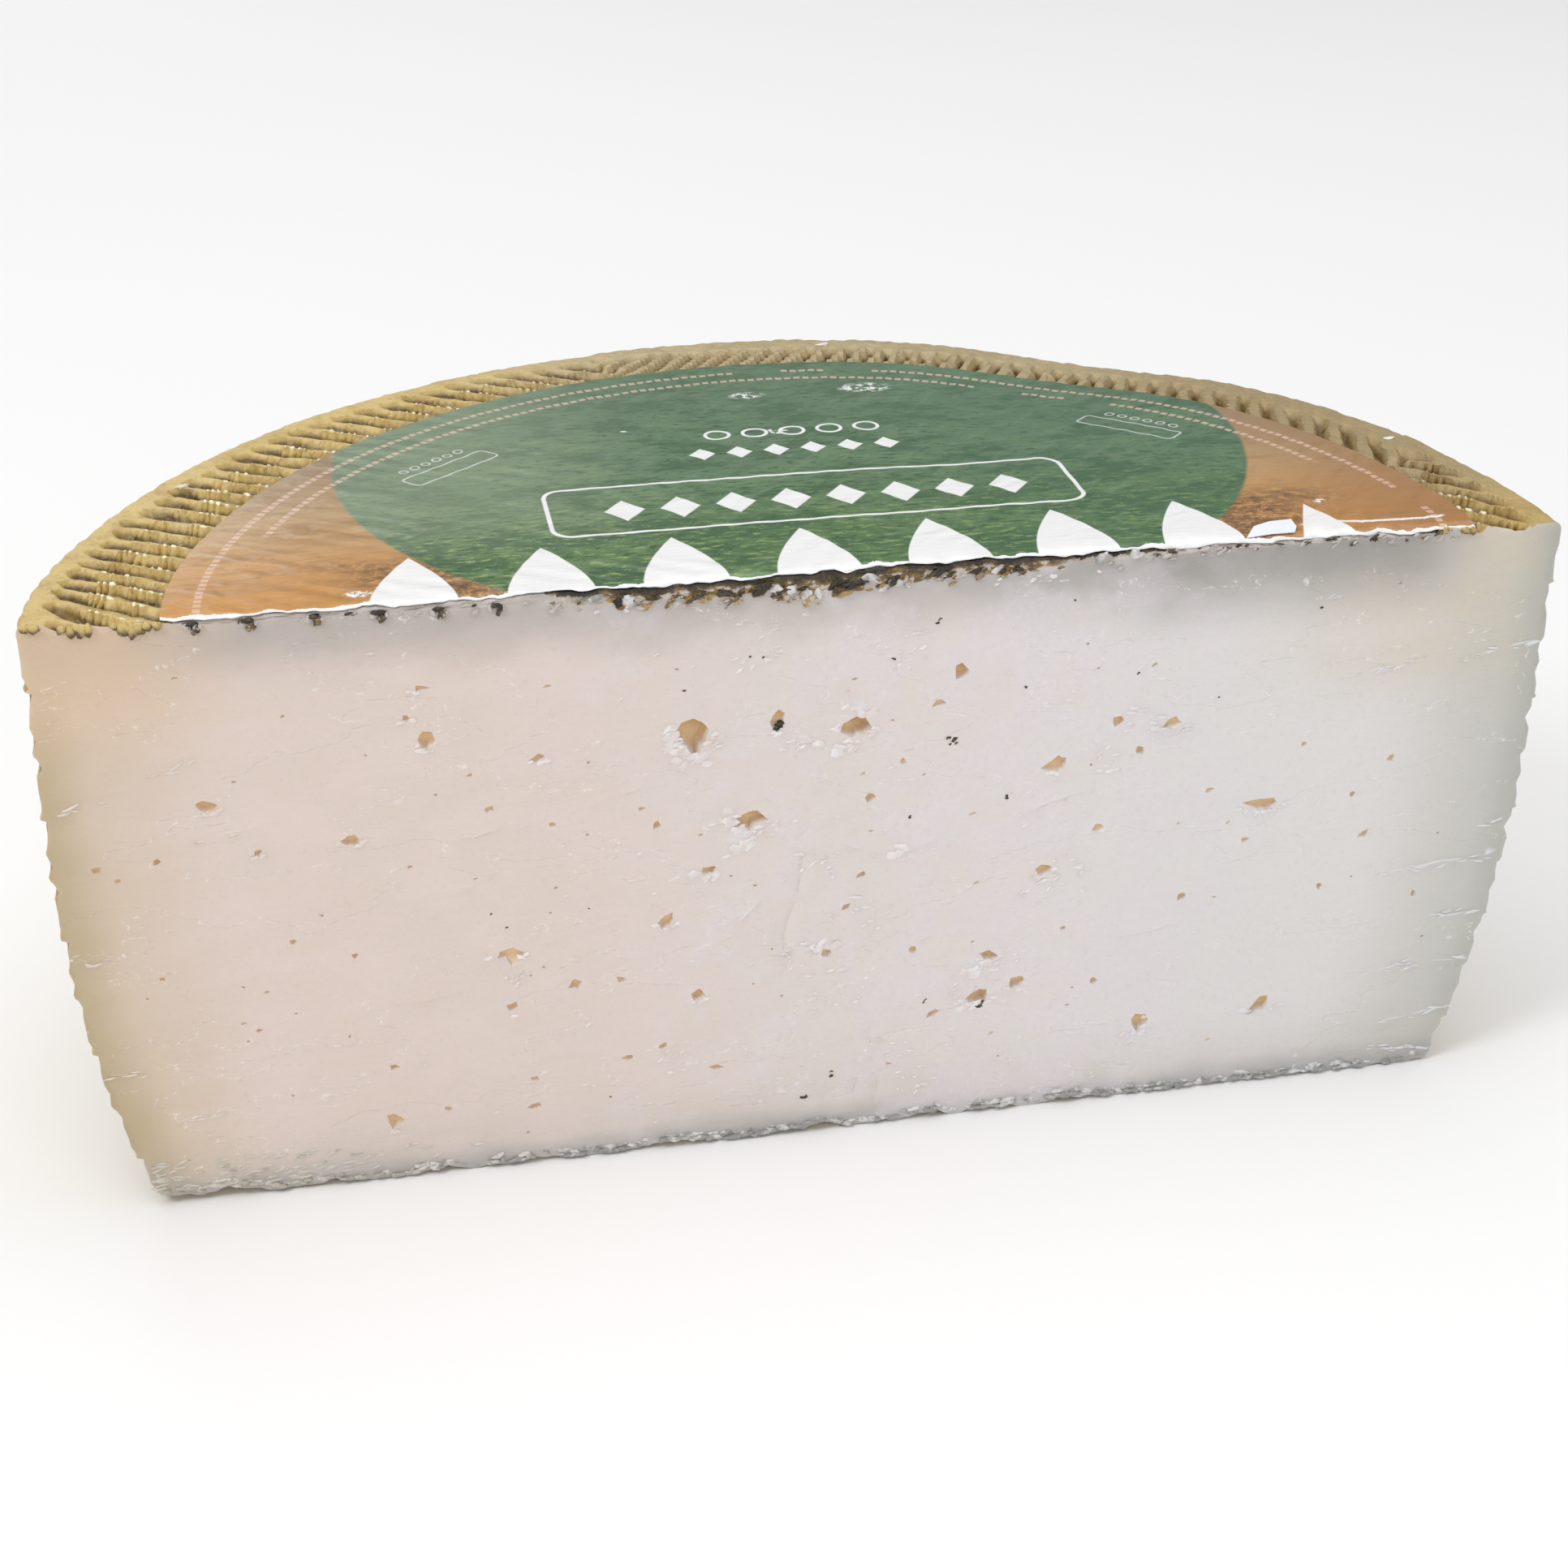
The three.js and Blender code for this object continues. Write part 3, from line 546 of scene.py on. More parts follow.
def eye_rim(lobes, own):
    """The angles and reach of an eye's rim: straight between a few corners, and bitten from below."""
    size = max(lobes[0][2:4])
    corners = own.integers(5, 8) + 2 * (len(lobes) > 1)
    points = 2 if size < 1.6 else 4
    turns = (np.arange(corners) + own.uniform(-0.28, 0.28, corners)) / corners * 2 * math.pi
    reach = lobe_reach(lobes, turns) * own.uniform(0.82, 1.34, corners)
    ahead, reach_ahead = np.append(turns[1:], turns[0] + 2 * math.pi), np.roll(reach, -1)
    turn, far = [], []
    for a, b, p, q in zip(turns, ahead, reach, reach_ahead):
        t = np.linspace(a, b, points, endpoint=False)
        turn.append(t)
        far.append(p * q * math.sin(b - a) / (p * np.sin(t - a) + q * np.sin(b - t)))
    turn, far = np.concatenate(turn), np.concatenate(far)
    below = 1.5 * math.pi + own.uniform(-0.6, 0.6)
    bite = own.uniform(0.1, 0.4) * bell(turn, below, 0.3)
    return turn, np.clip(far * (1 - bite) * (1 + 0.05 * own.uniform(-1, 1, len(far))), 0.2, None)


def eye_rings(lobes, seed):
    """Rings of points of one eye, from outside its rim to its middle: their flat places, depths and tones.
    The upper part of an eye has the deeper tone, painted shade under its upper rim, and its lower lip is
    torn up a little and paler: torn paste with a painted highlight."""
    own = np.random.default_rng(seed)
    x, z, wide, high, _ = lobes[0]
    turn, reach = eye_rim(lobes, own)
    deep = np.clip(0.55 * min(wide, high), 0.3, 2.2) * own.uniform(0.85, 1.2)
    strong = np.clip(0.45 + 0.4 * deep, 0, 1)
    lip = np.clip(-np.sin(turn - own.uniform(-0.5, 0.5)), 0, 1) * own.uniform(0.3, 1, len(turn))
    tilt = own.uniform(0, 2 * math.pi)
    x, z = unsettled(x, z)
    large = max(wide, high) > 1.6
    shares = ((1.0, 0.88, 0.6, 0.3), (0.0, 0.62, 0.94, 1.0)) if large else ((1.0, 0.72, 0.3), (0.0, 0.8, 1.0))
    rings = []
    for share, depth in zip(*shares):
        rough = 1 + 0.3 * (1 - share) * own.uniform(-1, 1, len(turn))
        out = reach * share * rough
        flat = columns((x + out * np.cos(turn), z + out * np.sin(turn)))
        slope = 1 + 0.35 * share * np.cos(turn - tilt)
        # The upper part gets the deeper tone: painted shade under the upper rim.
        upper_shade = 0.6 + 0.4 * share * np.sin(turn)
        rings.append([flat, deep * depth * slope, -depth * upper_shade * strong])
    rings[0][1] = -0.16 * lip * min(deep, 1)
    # The lower lip's pale tone is torn paste with a painted highlight on it.
    rings[0][2] = 3 * lip * min(deep, 1)
    beyond = reach + own.uniform(0.25, 0.7, len(turn)) * (0.4 + lip)
    outer = columns((x + beyond * np.cos(turn), z + beyond * np.sin(turn)))
    rings.insert(0, [outer, 0 * turn, 0 * turn])
    rings.append([np.array([[x, z]]), np.array([deep * 0.97]), np.array([-0.6 * strong])])
    return rings


def crack_rows(number):
    """Points, depths and tones of a fine crack, or of a step with a pale edge: a middle line between two."""
    (x0, z0), (x1, z1), waver, deep = LINES[number]
    length = math.hypot(x1 - x0, z1 - z0)
    steps = max(int(length / 0.9), 3)
    t = np.linspace(0, 1, steps)
    away = waver * noise(t * steps / 3.2, 0.5, 60 + number)
    ahead = (x1 - x0) / length, (z1 - z0) / length
    patchy = np.clip(0.5 + noise(t * steps / 2.1, 1.5, 64 + number), 0, 1)
    fade = np.sin(math.pi * np.clip(t, 0.04, 0.96)) ** 0.6 * patchy
    crack, step = ((0, deep), (-0.22, 0), (0.22, 0)), ((0, 0.4 * deep), (-0.25, -deep), (0.22, 0))
    rows = []
    for side, depth in crack if deep > 0 else step:
        x = x0 + (x1 - x0) * t - ahead[1] * (away + side)
        z = z0 + (z1 - z0) * t + ahead[0] * (away + side)
        tone = -0.4 * depth * fade if deep > 0 else 3 * np.sqrt(fade) * (side == 0)
        rows.append((columns((x, z)), depth * fade, tone))
    return rows


def inset(x, z):
    """How far a place on the cut side is from its outline."""
    side = wall_radius(z) - np.abs(x)
    return np.minimum(side, np.minimum(z, paste_top(np.asarray(x)) - z))


def cut_surface(flat):
    """Gentle waves of the cut side, as a depth behind the cut plane, but for eyes and cracks."""
    x, z = flat.T
    waves = 0.10 * layered(x / 22, z / 14, 70) + 0.05 * layered(x / 5, (z - 0.08 * x) / 1.6, 71)
    rough = sum(bell(np.hypot(x - cx, z - cz), 0, reach) for cx, cz, reach in CRUMBLY)
    waves = waves + 0.16 * np.clip(rough, 0, 1) * (layered(x / 1.8, z / 1.5, 72) + 0.4)
    return (waves + 0.06) * smooth(0.6, 6, inset(x, z))


def smeared(x, z):
    """Tone of the pale smears that the knife left along the torn lines, and of the torn faces."""
    shade = np.zeros(len(x))
    for (x0, z0), (x1, z1) in TEARS:
        length = math.hypot(x1 - x0, z1 - z0)
        t = np.clip(((x - x0) * (x1 - x0) + (z - z0) * (z1 - z0)) / length ** 2, 0, 1)
        far = np.hypot(x - x0 - t * (x1 - x0), z - z0 - t * (z1 - z0))
        shade = np.maximum(shade, bell(far, 0, 1.5) * (1 - 0.5 * t))
    shade = shade * smooth(-0.4, 0.3, layered(x / 5, z / 1.5, 73))
    for cx, cz, wide, high in FACES:
        shade = np.maximum(shade, bell(np.hypot((x - cx) / wide, (z - cz) / high), 0, 0.9))
    return 3 * shade


def clear_of(points, others, distance):
    """The points that are further than a distance from all others, found on a grid of that size."""
    taken = set()
    for cx, cz in np.floor(others / distance).astype(int).tolist():
        taken.update((cx + i, cz + j) for i in (-1, 0, 1) for j in (-1, 0, 1))
    cells = np.floor(points / distance).astype(int).tolist()
    return points[[tuple(c) not in taken for c in cells]]


def thinned(groups):
    """Drops eyes that would touch one kept before them."""
    kept, discs = [], []
    for rings in groups:
        rim = rings[0][0]
        middle = rim.mean(0)
        radius = np.hypot(*(rim - middle).T).max()
        if all(np.hypot(*(middle - m)) > radius + r + 0.5 for m, r in discs):
            kept.append(rings)
            discs.append((middle, radius))
    return kept


def pin_holes(count):
    """Small eyes at random places."""
    x, z, size, q = [rng.uniform(*span, count) for span in ((-96, 96), (4, 83), (0.4, 1.3), (-1, 1))]
    return tuple((lobe,) for lobe in zip(x, z, size, 0.3 + 0.25 * size * q, 40 * q))


def away_from(points, eyes, room):
    """Which points lie outside all eyes, given by middle and radius, with some room."""
    gap = np.hypot(points[:, None, 0] - eyes[:, 0], points[:, None, 1] - eyes[:, 1])
    return (gap > eyes[:, 2] + room).all(1)


def cut_side(body, loop, flat):
    groups = thinned([eye_rings(lobes, 500 + k) for k, lobes in enumerate(EYES + pin_holes(PIN_HOLES))])
    places, depths, tones, edges = [], [], [], []
    start = len(loop)
    for rings in groups:
        for k, (ring_flat, depth, tone) in enumerate(rings):
            n = len(ring_flat)
            if k in (1, 2) and n > 1:
                edges += [(start + i, start + (i + 1) % n) for i in range(n)]
            places.append(ring_flat)
            depths.append(depth + cut_surface(ring_flat))
            tones.append(smeared(*ring_flat.T) if k == 0 else tone)
            start += n
    eyes = np.array([[*g[-1][0][0], np.hypot(*(g[0][0] - g[-1][0][0]).T).max()] for g in groups])
    for k in range(len(LINES)):
        for row_flat, depth, tone in crack_rows(k):
            free = away_from(row_flat, eyes, 0.3) & (inset(*row_flat.T) > RIM_ROOM)
            places.append(row_flat[free])
            depths.append((depth + cut_surface(row_flat))[free])
            tones.append(np.broadcast_to(tone, len(depth))[free])
    fixed = np.vstack(places)
    grid = scattered((-104, 1), (104, 89), CUT_GRID, 9)
    side = wall_radius(grid[:, 1]) - np.abs(grid[:, 0])
    grid = grid[(inset(*grid.T) > RIM_ROOM) & (side > SIDE_ROOM)]
    grid = clear_of(grid, fixed, 0.55)
    grid = grid[away_from(grid, eyes, 0.25)]
    inner = np.vstack((fixed, grid))
    depth = np.concatenate((*depths, cut_surface(grid)))
    tone = np.concatenate((*tones, smeared(*grid.T)))
    body.fill(loop, flat, inner, lambda p: columns((p[:, 0], depth, p[:, 1])), 0, edges, tone)


def cheese():
    body = Body()
    headings = shell_headings()
    rows, tones = [], []
    for radius in np.linspace(ANNULUS_RADIUS, wall_radius(WALL_CROWN_Z) - LIP_ROUND, CROWN_ROWS):
        points = ring(np.full(len(headings), radius), headings, 0.0)
        relief = crown_relief(points[:, 0], points[:, 1])
        points[:, 2] = WHEEL_HEIGHT - RIDGE_HEIGHT * (1 - relief)
        rows.append(points)
        # The tone follows the relief, and the rind's colour darkens with it: partly painted shade in the
        # grooves.
        tones.append(relief)
    rim_z = rows[-1][:, 2]
    lip_wall = wall_relief(headings, WALL_CROWN_Z) * (0.2 + 0.6 * smooth(95, 110, headings))
    for bend in np.linspace(0, math.pi / 2, LIP_ROWS)[1:]:
        out, down = LIP_ROUND * math.sin(bend), 1 - math.cos(bend)
        radius = wall_radius(WALL_CROWN_Z) - LIP_ROUND + out - STROKE_DEPTH * lip_wall * math.sin(bend)
        rows.append(ring(radius, headings, rim_z + (WALL_CROWN_Z - rim_z) * down))
        tones.append(tones[-1] * 0.8 + 0.2 * (1 - lip_wall))
    indices = [body.add(r, t) for r, t in zip(rows, tones)]
    for low, high in zip(indices[:-1], indices[1:]):
        body.between(low, high, 1)
    loop_parts = wall(body, headings[::2], indices[-1])
    sides = [(i[0], i[-1]) for i in indices] + loop_parts[0]
    bottom = base(body, *loop_parts[1])
    top = under_label(body, indices[0], rows[0])
    right = np.array([s[0] for s in sides])
    left = np.array([s[1] for s in sides])
    loop = np.concatenate((bottom, right[::-1][1:], top[1:-1], left[:-1]))
    every = np.vstack(body.points)
    cut_side(body, loop, every[loop][:, [0, 2]])
    return body.mesh("cheese_body", [paste_material(), rind_material(), rind_edge_material()])


def wall(body, headings, last):
    """The plaited wall under the lip. Returns the ends of its rows, and the lowest row with its points."""
    sides = []
    band = np.arange(-1, 12)[:, None]
    heights = (FIRST_BAND_Z + BAND_HEIGHT * (band + np.array(BAND_ROWS))).ravel()[::-1]
    heights = heights[(heights < WALL_CROWN_Z - 0.4) & (heights > WALL_FOOT_Z + 0.3)]
    near_cut = bell(headings, 0, 2.5) + bell(headings, 180, 2.5)
    for k, z in enumerate(np.append(heights, WALL_FOOT_Z)):
        relief = wall_relief(headings, z)
        dent = 0.2 * (k % 2) * (1 + 0.8 * noise(k / 1.3, headings / 90, 24)) - 0.3 * shingle(z)
        points = ring(wall_radius(z) - STROKE_DEPTH * relief - shingle(z) - dent * near_cut, headings, z)
        # Lower tone in the stroke grooves and at each band's set-back upper end: partly the rind's darker
        # grooves, partly painted shade in these hollows.
        index = body.add(points, 0.86 - 0.86 * relief - 0.3 * shingle(z))
        body.between(last, index, 1)
        last = index
        sides.append((index[0], index[-1]))
    for drop, z in FOOT_ROWS:
        wear = 0.25 * noise(headings / 1.1, z, 30) + 0.2 * noise(headings / 3.4, z, 31)
        relief = 0.5 * STROKE_DEPTH * wall_relief(headings, WALL_FOOT_Z)
        points = ring(wall_radius(z) - drop - wear - relief, headings, z)
        points[:, 2] += base_relief(points[:, 0], points[:, 1]) * (z == 0)
        index = body.add(points, 0.4)
        body.between(last, index, 1)
        last = index
        sides.append((index[0], index[-1]))
    return sides, (last, points)


def torn_up(x):
    """How far the front edge of the base is torn up along the cut."""
    coarse = np.clip(layered(x / 4.5, 0.5, 33) + 0.05, 0, 1)
    return 1.8 * coarse + 0.5 * np.clip(noise(x / 1.2, 0.5, 34), 0, 1)


def base(body, arc, points):
    """The underside. Returns the points along the cut, from left to right."""
    left_x, right_x = points[-1, 0], points[0, 0]
    x = np.arange(left_x + 0.8, right_x - 0.6, 0.9)
    front = body.add(columns((x, 0 * x, np.maximum(base_relief(x, 0 * x), torn_up(x)))), 0.3)
    loop = np.concatenate((arc, front))
    flat = np.vstack((points[:, :2], columns((x, 0 * x))))
    t = GROOVE_SLANT * TURN
    inner = []
    for m in range(-41, 42, 2):
        for side in (-GROOVE_WIDTH / 2, 0, GROOVE_WIDTH / 2):
            across = m * GROOVE_PITCH / 2 + side
            along = np.arange(-110, 110, 6.0) + 3 * hashed(m, 1, 5)
            inner.append(columns((along * math.cos(t) + across * math.sin(t),
                                          along * math.sin(t) - across * math.cos(t))))
    inner = np.vstack(inner)
    inner = inner[(inner[:, 1] > 1.2) & (np.hypot(*inner.T) < wall_radius(0) - 3.6)]
    body.fill(loop, flat, inner, lambda p: columns((p, base_relief(*p.T))), 1, (), 0.5)
    return np.concatenate(([arc[-1]], front, [arc[0]]))


def edge_darkness(x):
    """How dark the rind's edge is along the cut, under the label: 1 in the middle and less at the ends.
    The darkness is the mouldy rind together with painted shadow under the label.
    """
    return 0.3 + 0.7 * smooth(*DARK_START, x) * (1 - 0.6 * smooth(*DARK_END, x))


def under_label(body, arc, points):
    """The crown under the label and the rind's ragged edge. Returns where the paste ends, from the right."""
    x = np.arange(*UNDER_EDGE)
    paste_z, top_z = paste_top(x), crown_edge(x)
    rows = []
    for share, seed in ((0.0, 0), (0.25, 42), (0.5, 43), (0.75, 45), (1.0, 44)):
        bent = math.sin(math.pi * share)
        back = 0.35 * share + 0.5 * bent * layered(x / 2.2, 0.5, seed)
        z = paste_z + (top_z - paste_z) * (share + 0.14 * bent * noise(x / 1.7, 0.5, seed + 5))
        # The rind's edge darkens towards the label: partly mouldy rind, partly painted shadow under the
        # label.
        rows.append(body.add(columns((x, np.clip(back, -0.5, 1), z)), share * edge_darkness(x)))
    ends = RIND_SHOWS + 1.5 * noise(np.arange(len(rows)), 0.5, 46)
    for k, (low, high) in enumerate(zip(rows[:-1], rows[1:])):
        cut = int(np.searchsorted(x, ends[k]))
        body.between(low[:cut + 1], high[:cut + 1], 0)
        body.between(low[cut:], high[cut:], 2)
        body.face([(arc[0], low[-1], high[-1]), (arc[-1], low[0], high[0])], 2)
    front = rows[-1]
    loop = np.concatenate((arc, front))
    flat = np.vstack((points[:, :2], columns((x, np.full(len(x), 0.35)))))
    close = [columns((x[1:-1], np.full(len(x) - 2, y))) for y in (0.8, 1.4)]
    inner = np.vstack((*close, scattered((-84, 3.4), (84, 84), UNDER_GRID, 11)))
    inner = inner[np.hypot(*inner.T) < ANNULUS_RADIUS - 1]
    # The crown under the label takes the black of the rind's edge: painted shadow where it shows in the gap
    # under the paper.
    body.fill(loop, flat, inner, lambda p: columns((p, WHEEL_HEIGHT - 0.1 - droop(p[:, 0], p[:, 1]))), 2, (),
              edge_darkness(inner[:, 0]))
    return np.concatenate(([arc[0]], rows[0][::-1], [arc[-1]]))


# The label

def torn_edge(x):
    """How far behind the cut the label's torn front edge lies."""
    return 0.3 + 0.75 * layered(x / 4.6, 0.5, 80) + 0.28 * noise(x / 0.8, 0.5, 81)


def torn_width(x):
    """How wide the bare white strip along the torn edge is."""
    return 0.38 + 0.6 * layered(x / 4.2, 1.5, 82) + 0.25 * noise(x / 1.1, 1.5, 83)


def wrinkles(x, y):
    """How the paper prints the crown's ridges through."""
    bent = 0.7 * noise(x / 14, y / 14, 84)
    left, right = [np.cos(2 * math.pi * (across_and_along(x, y, slant)[0] + bent) / RIDGE_PITCH)
                   for slant in PRINT_SLANTS]
    share = smooth(-8, 8, x + 0.4 * y + 10)
    ridges = left * (1 - share) + right * share
    patchy = 0.45 + 0.55 * layered(x / 17, y / 11, 85)
    return 0.09 * ridges * np.clip(patchy, 0.05, 1) + 0.06 * layered(x / 9, y / 6, 86)


def sheet(body, border, inner, height, tone, thick):
    """A closed sheet of paper over a border, with its upper face at the given height."""
    every = np.vstack((border, inner))
    tones = tone(every)
    first = body.count
    loop = body.add(columns((border, height(border))), tones[:len(border)])
    upper = body.fill(loop, border, inner, lambda p: columns((p, height(p))), 0, (), tones[len(border):])
    total = body.count - first
    body.add(columns((every, height(every) - thick)), tones)
    body.face(upper[:, ::-1] + total)
    ahead = np.roll(loop, -1)
    for side in ((loop, ahead, ahead + total), (loop, ahead + total, loop + total)):
        body.face(columns(side))


def label_height(flat):
    x, y = flat.T
    behind = np.clip(y - torn_edge(x), 0, None)
    return WHEEL_HEIGHT + LABEL_LEVEL + PAPER + wrinkles(x, y) * smooth(0, 4, behind) - droop(x, behind)


def label_tone(flat):
    """1 at the torn edge, 0.5 where its white strip ends, and 0 behind it."""
    x, y = flat.T
    return np.clip(1 - 0.5 * (y - torn_edge(x)) / np.clip(torn_width(x), 0.1, None), 0, 1)


def label():
    body = Body()
    start, end = [math.asin(float(torn_edge(x)) / LABEL_RADIUS) for x in LABEL_ENDS]
    a = np.linspace(start, math.pi - end, LABEL_POINTS)
    wear = LABEL_RADIUS - 0.1 * np.clip(noise(a * 60, 0.5, 88), 0, 1)
    arc = columns((LABEL_CENTRE[0] + wear * np.cos(a), LABEL_CENTRE[1] + wear * np.sin(a)))
    x = np.arange(arc[-1, 0] + 0.45, arc[0, 0] - 0.3, 0.42)
    front = columns((x, torn_edge(x)))
    close = [columns((x, torn_edge(x) + behind)) for behind in (0.35, 0.75, 1.25)]
    grid = scattered((-88, 1.9), (93, 90), LABEL_GRID, 12)
    grid = grid[grid[:, 1] > torn_edge(grid[:, 0]) + 1.9]
    inner = np.vstack((*close, grid))
    out = np.hypot(inner[:, 0] - LABEL_CENTRE[0], inner[:, 1] - LABEL_CENTRE[1])
    inner = inner[out < LABEL_RADIUS - 0.65]
    sheet(body, np.vstack((arc, front)), inner, label_height, label_tone, PAPER)
    return body.mesh("label_paper", [label_material()], 60)


def flap():
    """The corner of paper that is folded over at the right."""
    body = Body()
    loop = np.array(FLAP)
    inner = scattered((60, 1.4), (66.4, 3.8), 0.7, 13)
    edge = np.roll(loop, -1, 0) - loop
    turn = edge[:, 0] * (inner[:, None, 1] - loop[:, 1]) - edge[:, 1] * (inner[:, None, 0] - loop[:, 0])
    inner = inner[(turn > 0.4 * np.hypot(*edge.T)).all(1)]

    def height(flat):
        lifted = label_height(flat) + 0.22 + 0.5 * smooth(1, 4, flat[:, 1])
        return lifted + 0.12 * noise(*flat.T, 89)

    sheet(body, loop, inner, height, lambda p: np.zeros(len(p)), 0.12)
    return body.mesh("label_flap", [flap_material()], 60)


# Loose bits

def ball():
    """The points and faces of a ball of 80 triangles."""
    g = (1 + 5 ** 0.5) / 2
    points = [np.roll((a, b, 0), k) for k in range(3) for a, b in ((-1, g), (1, g), (-1, -g), (1, -g))]
    faces = (
        (0, 11, 5), (0, 5, 1), (0, 1, 7), (0, 7, 10), (0, 10, 11), (1, 5, 9), (5, 11, 4), (11, 10, 2),
        (10, 7, 6), (7, 1, 8), (3, 9, 4), (3, 4, 2), (3, 2, 6), (3, 6, 8), (3, 8, 9), (4, 9, 5), (2, 4, 11),
        (6, 2, 10), (8, 6, 7), (9, 8, 1),
    )
    middle, split = {}, []
    for face in faces:
        halves = []
        for pair in ((0, 1), (1, 2), (2, 0)):
            low, high = sorted(face[k] for k in pair)
            if (low, high) not in middle:
                middle[low, high] = len(points)
                points.append((points[low] + points[high]) / 2)
            halves.append(middle[low, high])
        a, b, c = halves
        split += [(face[0], a, c), (face[1], b, a), (face[2], c, b), (a, b, c)]
    points = np.array(points)
    return points / np.linalg.norm(points, axis=1)[:, None], np.array(split)


BALL_POINTS, BALL_FACES = ball()


class Bits(Body):
    """Loose lumps in one mesh, with their own random numbers."""

    def __init__(self, seed):
        super().__init__()
        own = np.random.default_rng(seed)
        self.draw, self.normal, self.triangular = own.uniform, own.normal, own.triangular

    def lump(self, centre, radii, rough=0.3, slot=0, tone=0.0, lean=None):
        """An irregular closed lump with its own half sizes, turned in the plane of the cut."""
        uneven = 1 + rough * self.draw(-1, 1, len(BALL_POINTS))
        x, y, z = (BALL_POINTS * uneven[:, None] * radii).T
        a = self.draw(0, 2 * math.pi) if lean is None else lean
        c, s = math.cos(a), math.sin(a)
        index = self.add(columns((x * c - z * s, y, x * s + z * c)) + centre, tone)
        self.face(index[BALL_FACES], slot)

    def flake(self, x, z, size, thick, rough, lean, proud=0.0):
        """One flake of paste, unless it would lie in an eye or stand out over the outline."""
        if not in_an_eye(x, z) and inset(*unsettled(x, z)) > 0.9:
            self.lump(on_cut(x, z, proud), (size[0], thick, size[1]), rough, 0, 0, lean)


def held_out(centre_y, reach):
    """Keeps a lump from standing further out of the cut than the furthest scrap of rind."""
    return max(centre_y, -SCRAP_REACH + reach + 0.02)


def on_cut(x, z, proud):
    """The place of something on the cut side that stands a little proud of it."""
    x, z = unsettled(x, z)
    return float(x), held_out(float(cut_surface(np.array([[x, z]]))[0]) - proud, 0.3), float(z)


def in_an_eye(x, z):
    for x0, z0, wide, high, _ in (lobe for eye in EYES for lobe in eye):
        if ((x - x0) * 2 / wide) ** 2 + ((z - z0) * 2 / high) ** 2 < 0.95:
            return True
    return False


def paste_end(x):
    return float(paste_top(np.array(x)))


def rind_scraps():
    """Shreds of dark and golden rind that the knife dragged over the upper edge of the cut."""
    bits = Bits(31)
    draw = bits.draw
    for x, wide in TEETH:
        z = paste_end(x) - 0.1
        for dx, y, reach, dz, share, deep, high, tone, lean in TOOTH_LUMPS:
            bits.lump((x + dx, held_out(y, reach), z + dz), (wide * share, deep, high), 0.3, 0, tone, lean)
    for x in np.concatenate((bits.normal(0, 21, 105).clip(-37, 48), draw(38, 90, 50), draw(-86, -36, 10))):
        heavy = bell(x, 0, 28)
        size = draw(0.24, 0.5) * (0.6 + 0.75 * heavy)
        up = draw(0, 1)
        low = paste_end(x) - 0.5 - 0.6 * heavy - 0.9 * (x > 38) * draw(0, 1) ** 2
        z = min(low + up * (1.2 + 0.6 * heavy), WHEEL_HEIGHT - 0.7)
        shape = (size * draw(1.2, 3.0), size * 0.7, size * draw(0.55, 1.1))
        place = (x, held_out(draw(-0.3, 0.2), shape[1] * 1.4), z)
        # Higher shreds take a higher, darker tone: partly the rind's dark edge, partly painted shadow under
        # the label.
        tone = np.clip(0.1 + 0.75 * up + draw(-0.3, 0.3), 0, 1)
        bits.lump(place, shape, 0.35, 0, tone, draw(-0.3, 0.8))
    for cx, half, drop in CORNER_LUMPS:
        count = int(2 * half / 0.95) + 1
        for k in range(count):
            x = cx - half + 2 * half * (k + 0.5) / count + draw(-0.3, 0.3)
            low = drop * draw(0.3, 1) * (1 - 0.5 * abs(x - cx) / half)
            place = (x, held_out(-0.15, 0.5), WHEEL_HEIGHT - 0.4 - low / 2)
            # Lighter towards each lump's top: painted light from above.
            tone = np.clip(0.42 + 0.45 * BALL_POINTS[:, 2], 0.05, 0.92)
            bits.lump(place, (draw(0.45, 0.85), 0.45, 0.3 + low / 2), 0.25, 1, tone, draw(-0.7, 0.5))
    for x in draw(-34, 44, 15):
        z = paste_end(x) + draw(-0.5, 0.9)
        shape = (draw(0.5, 1.3), 0.4, draw(0.35, 0.8))
        bits.lump((x, held_out(draw(-0.2, 0.1), 0.55), z), shape, 0.35, 2, 0, draw(-0.3, 0.8))
    return bits.mesh("rind_scraps", [rind_edge_material(), rind_material(), crumb_material()], 55)


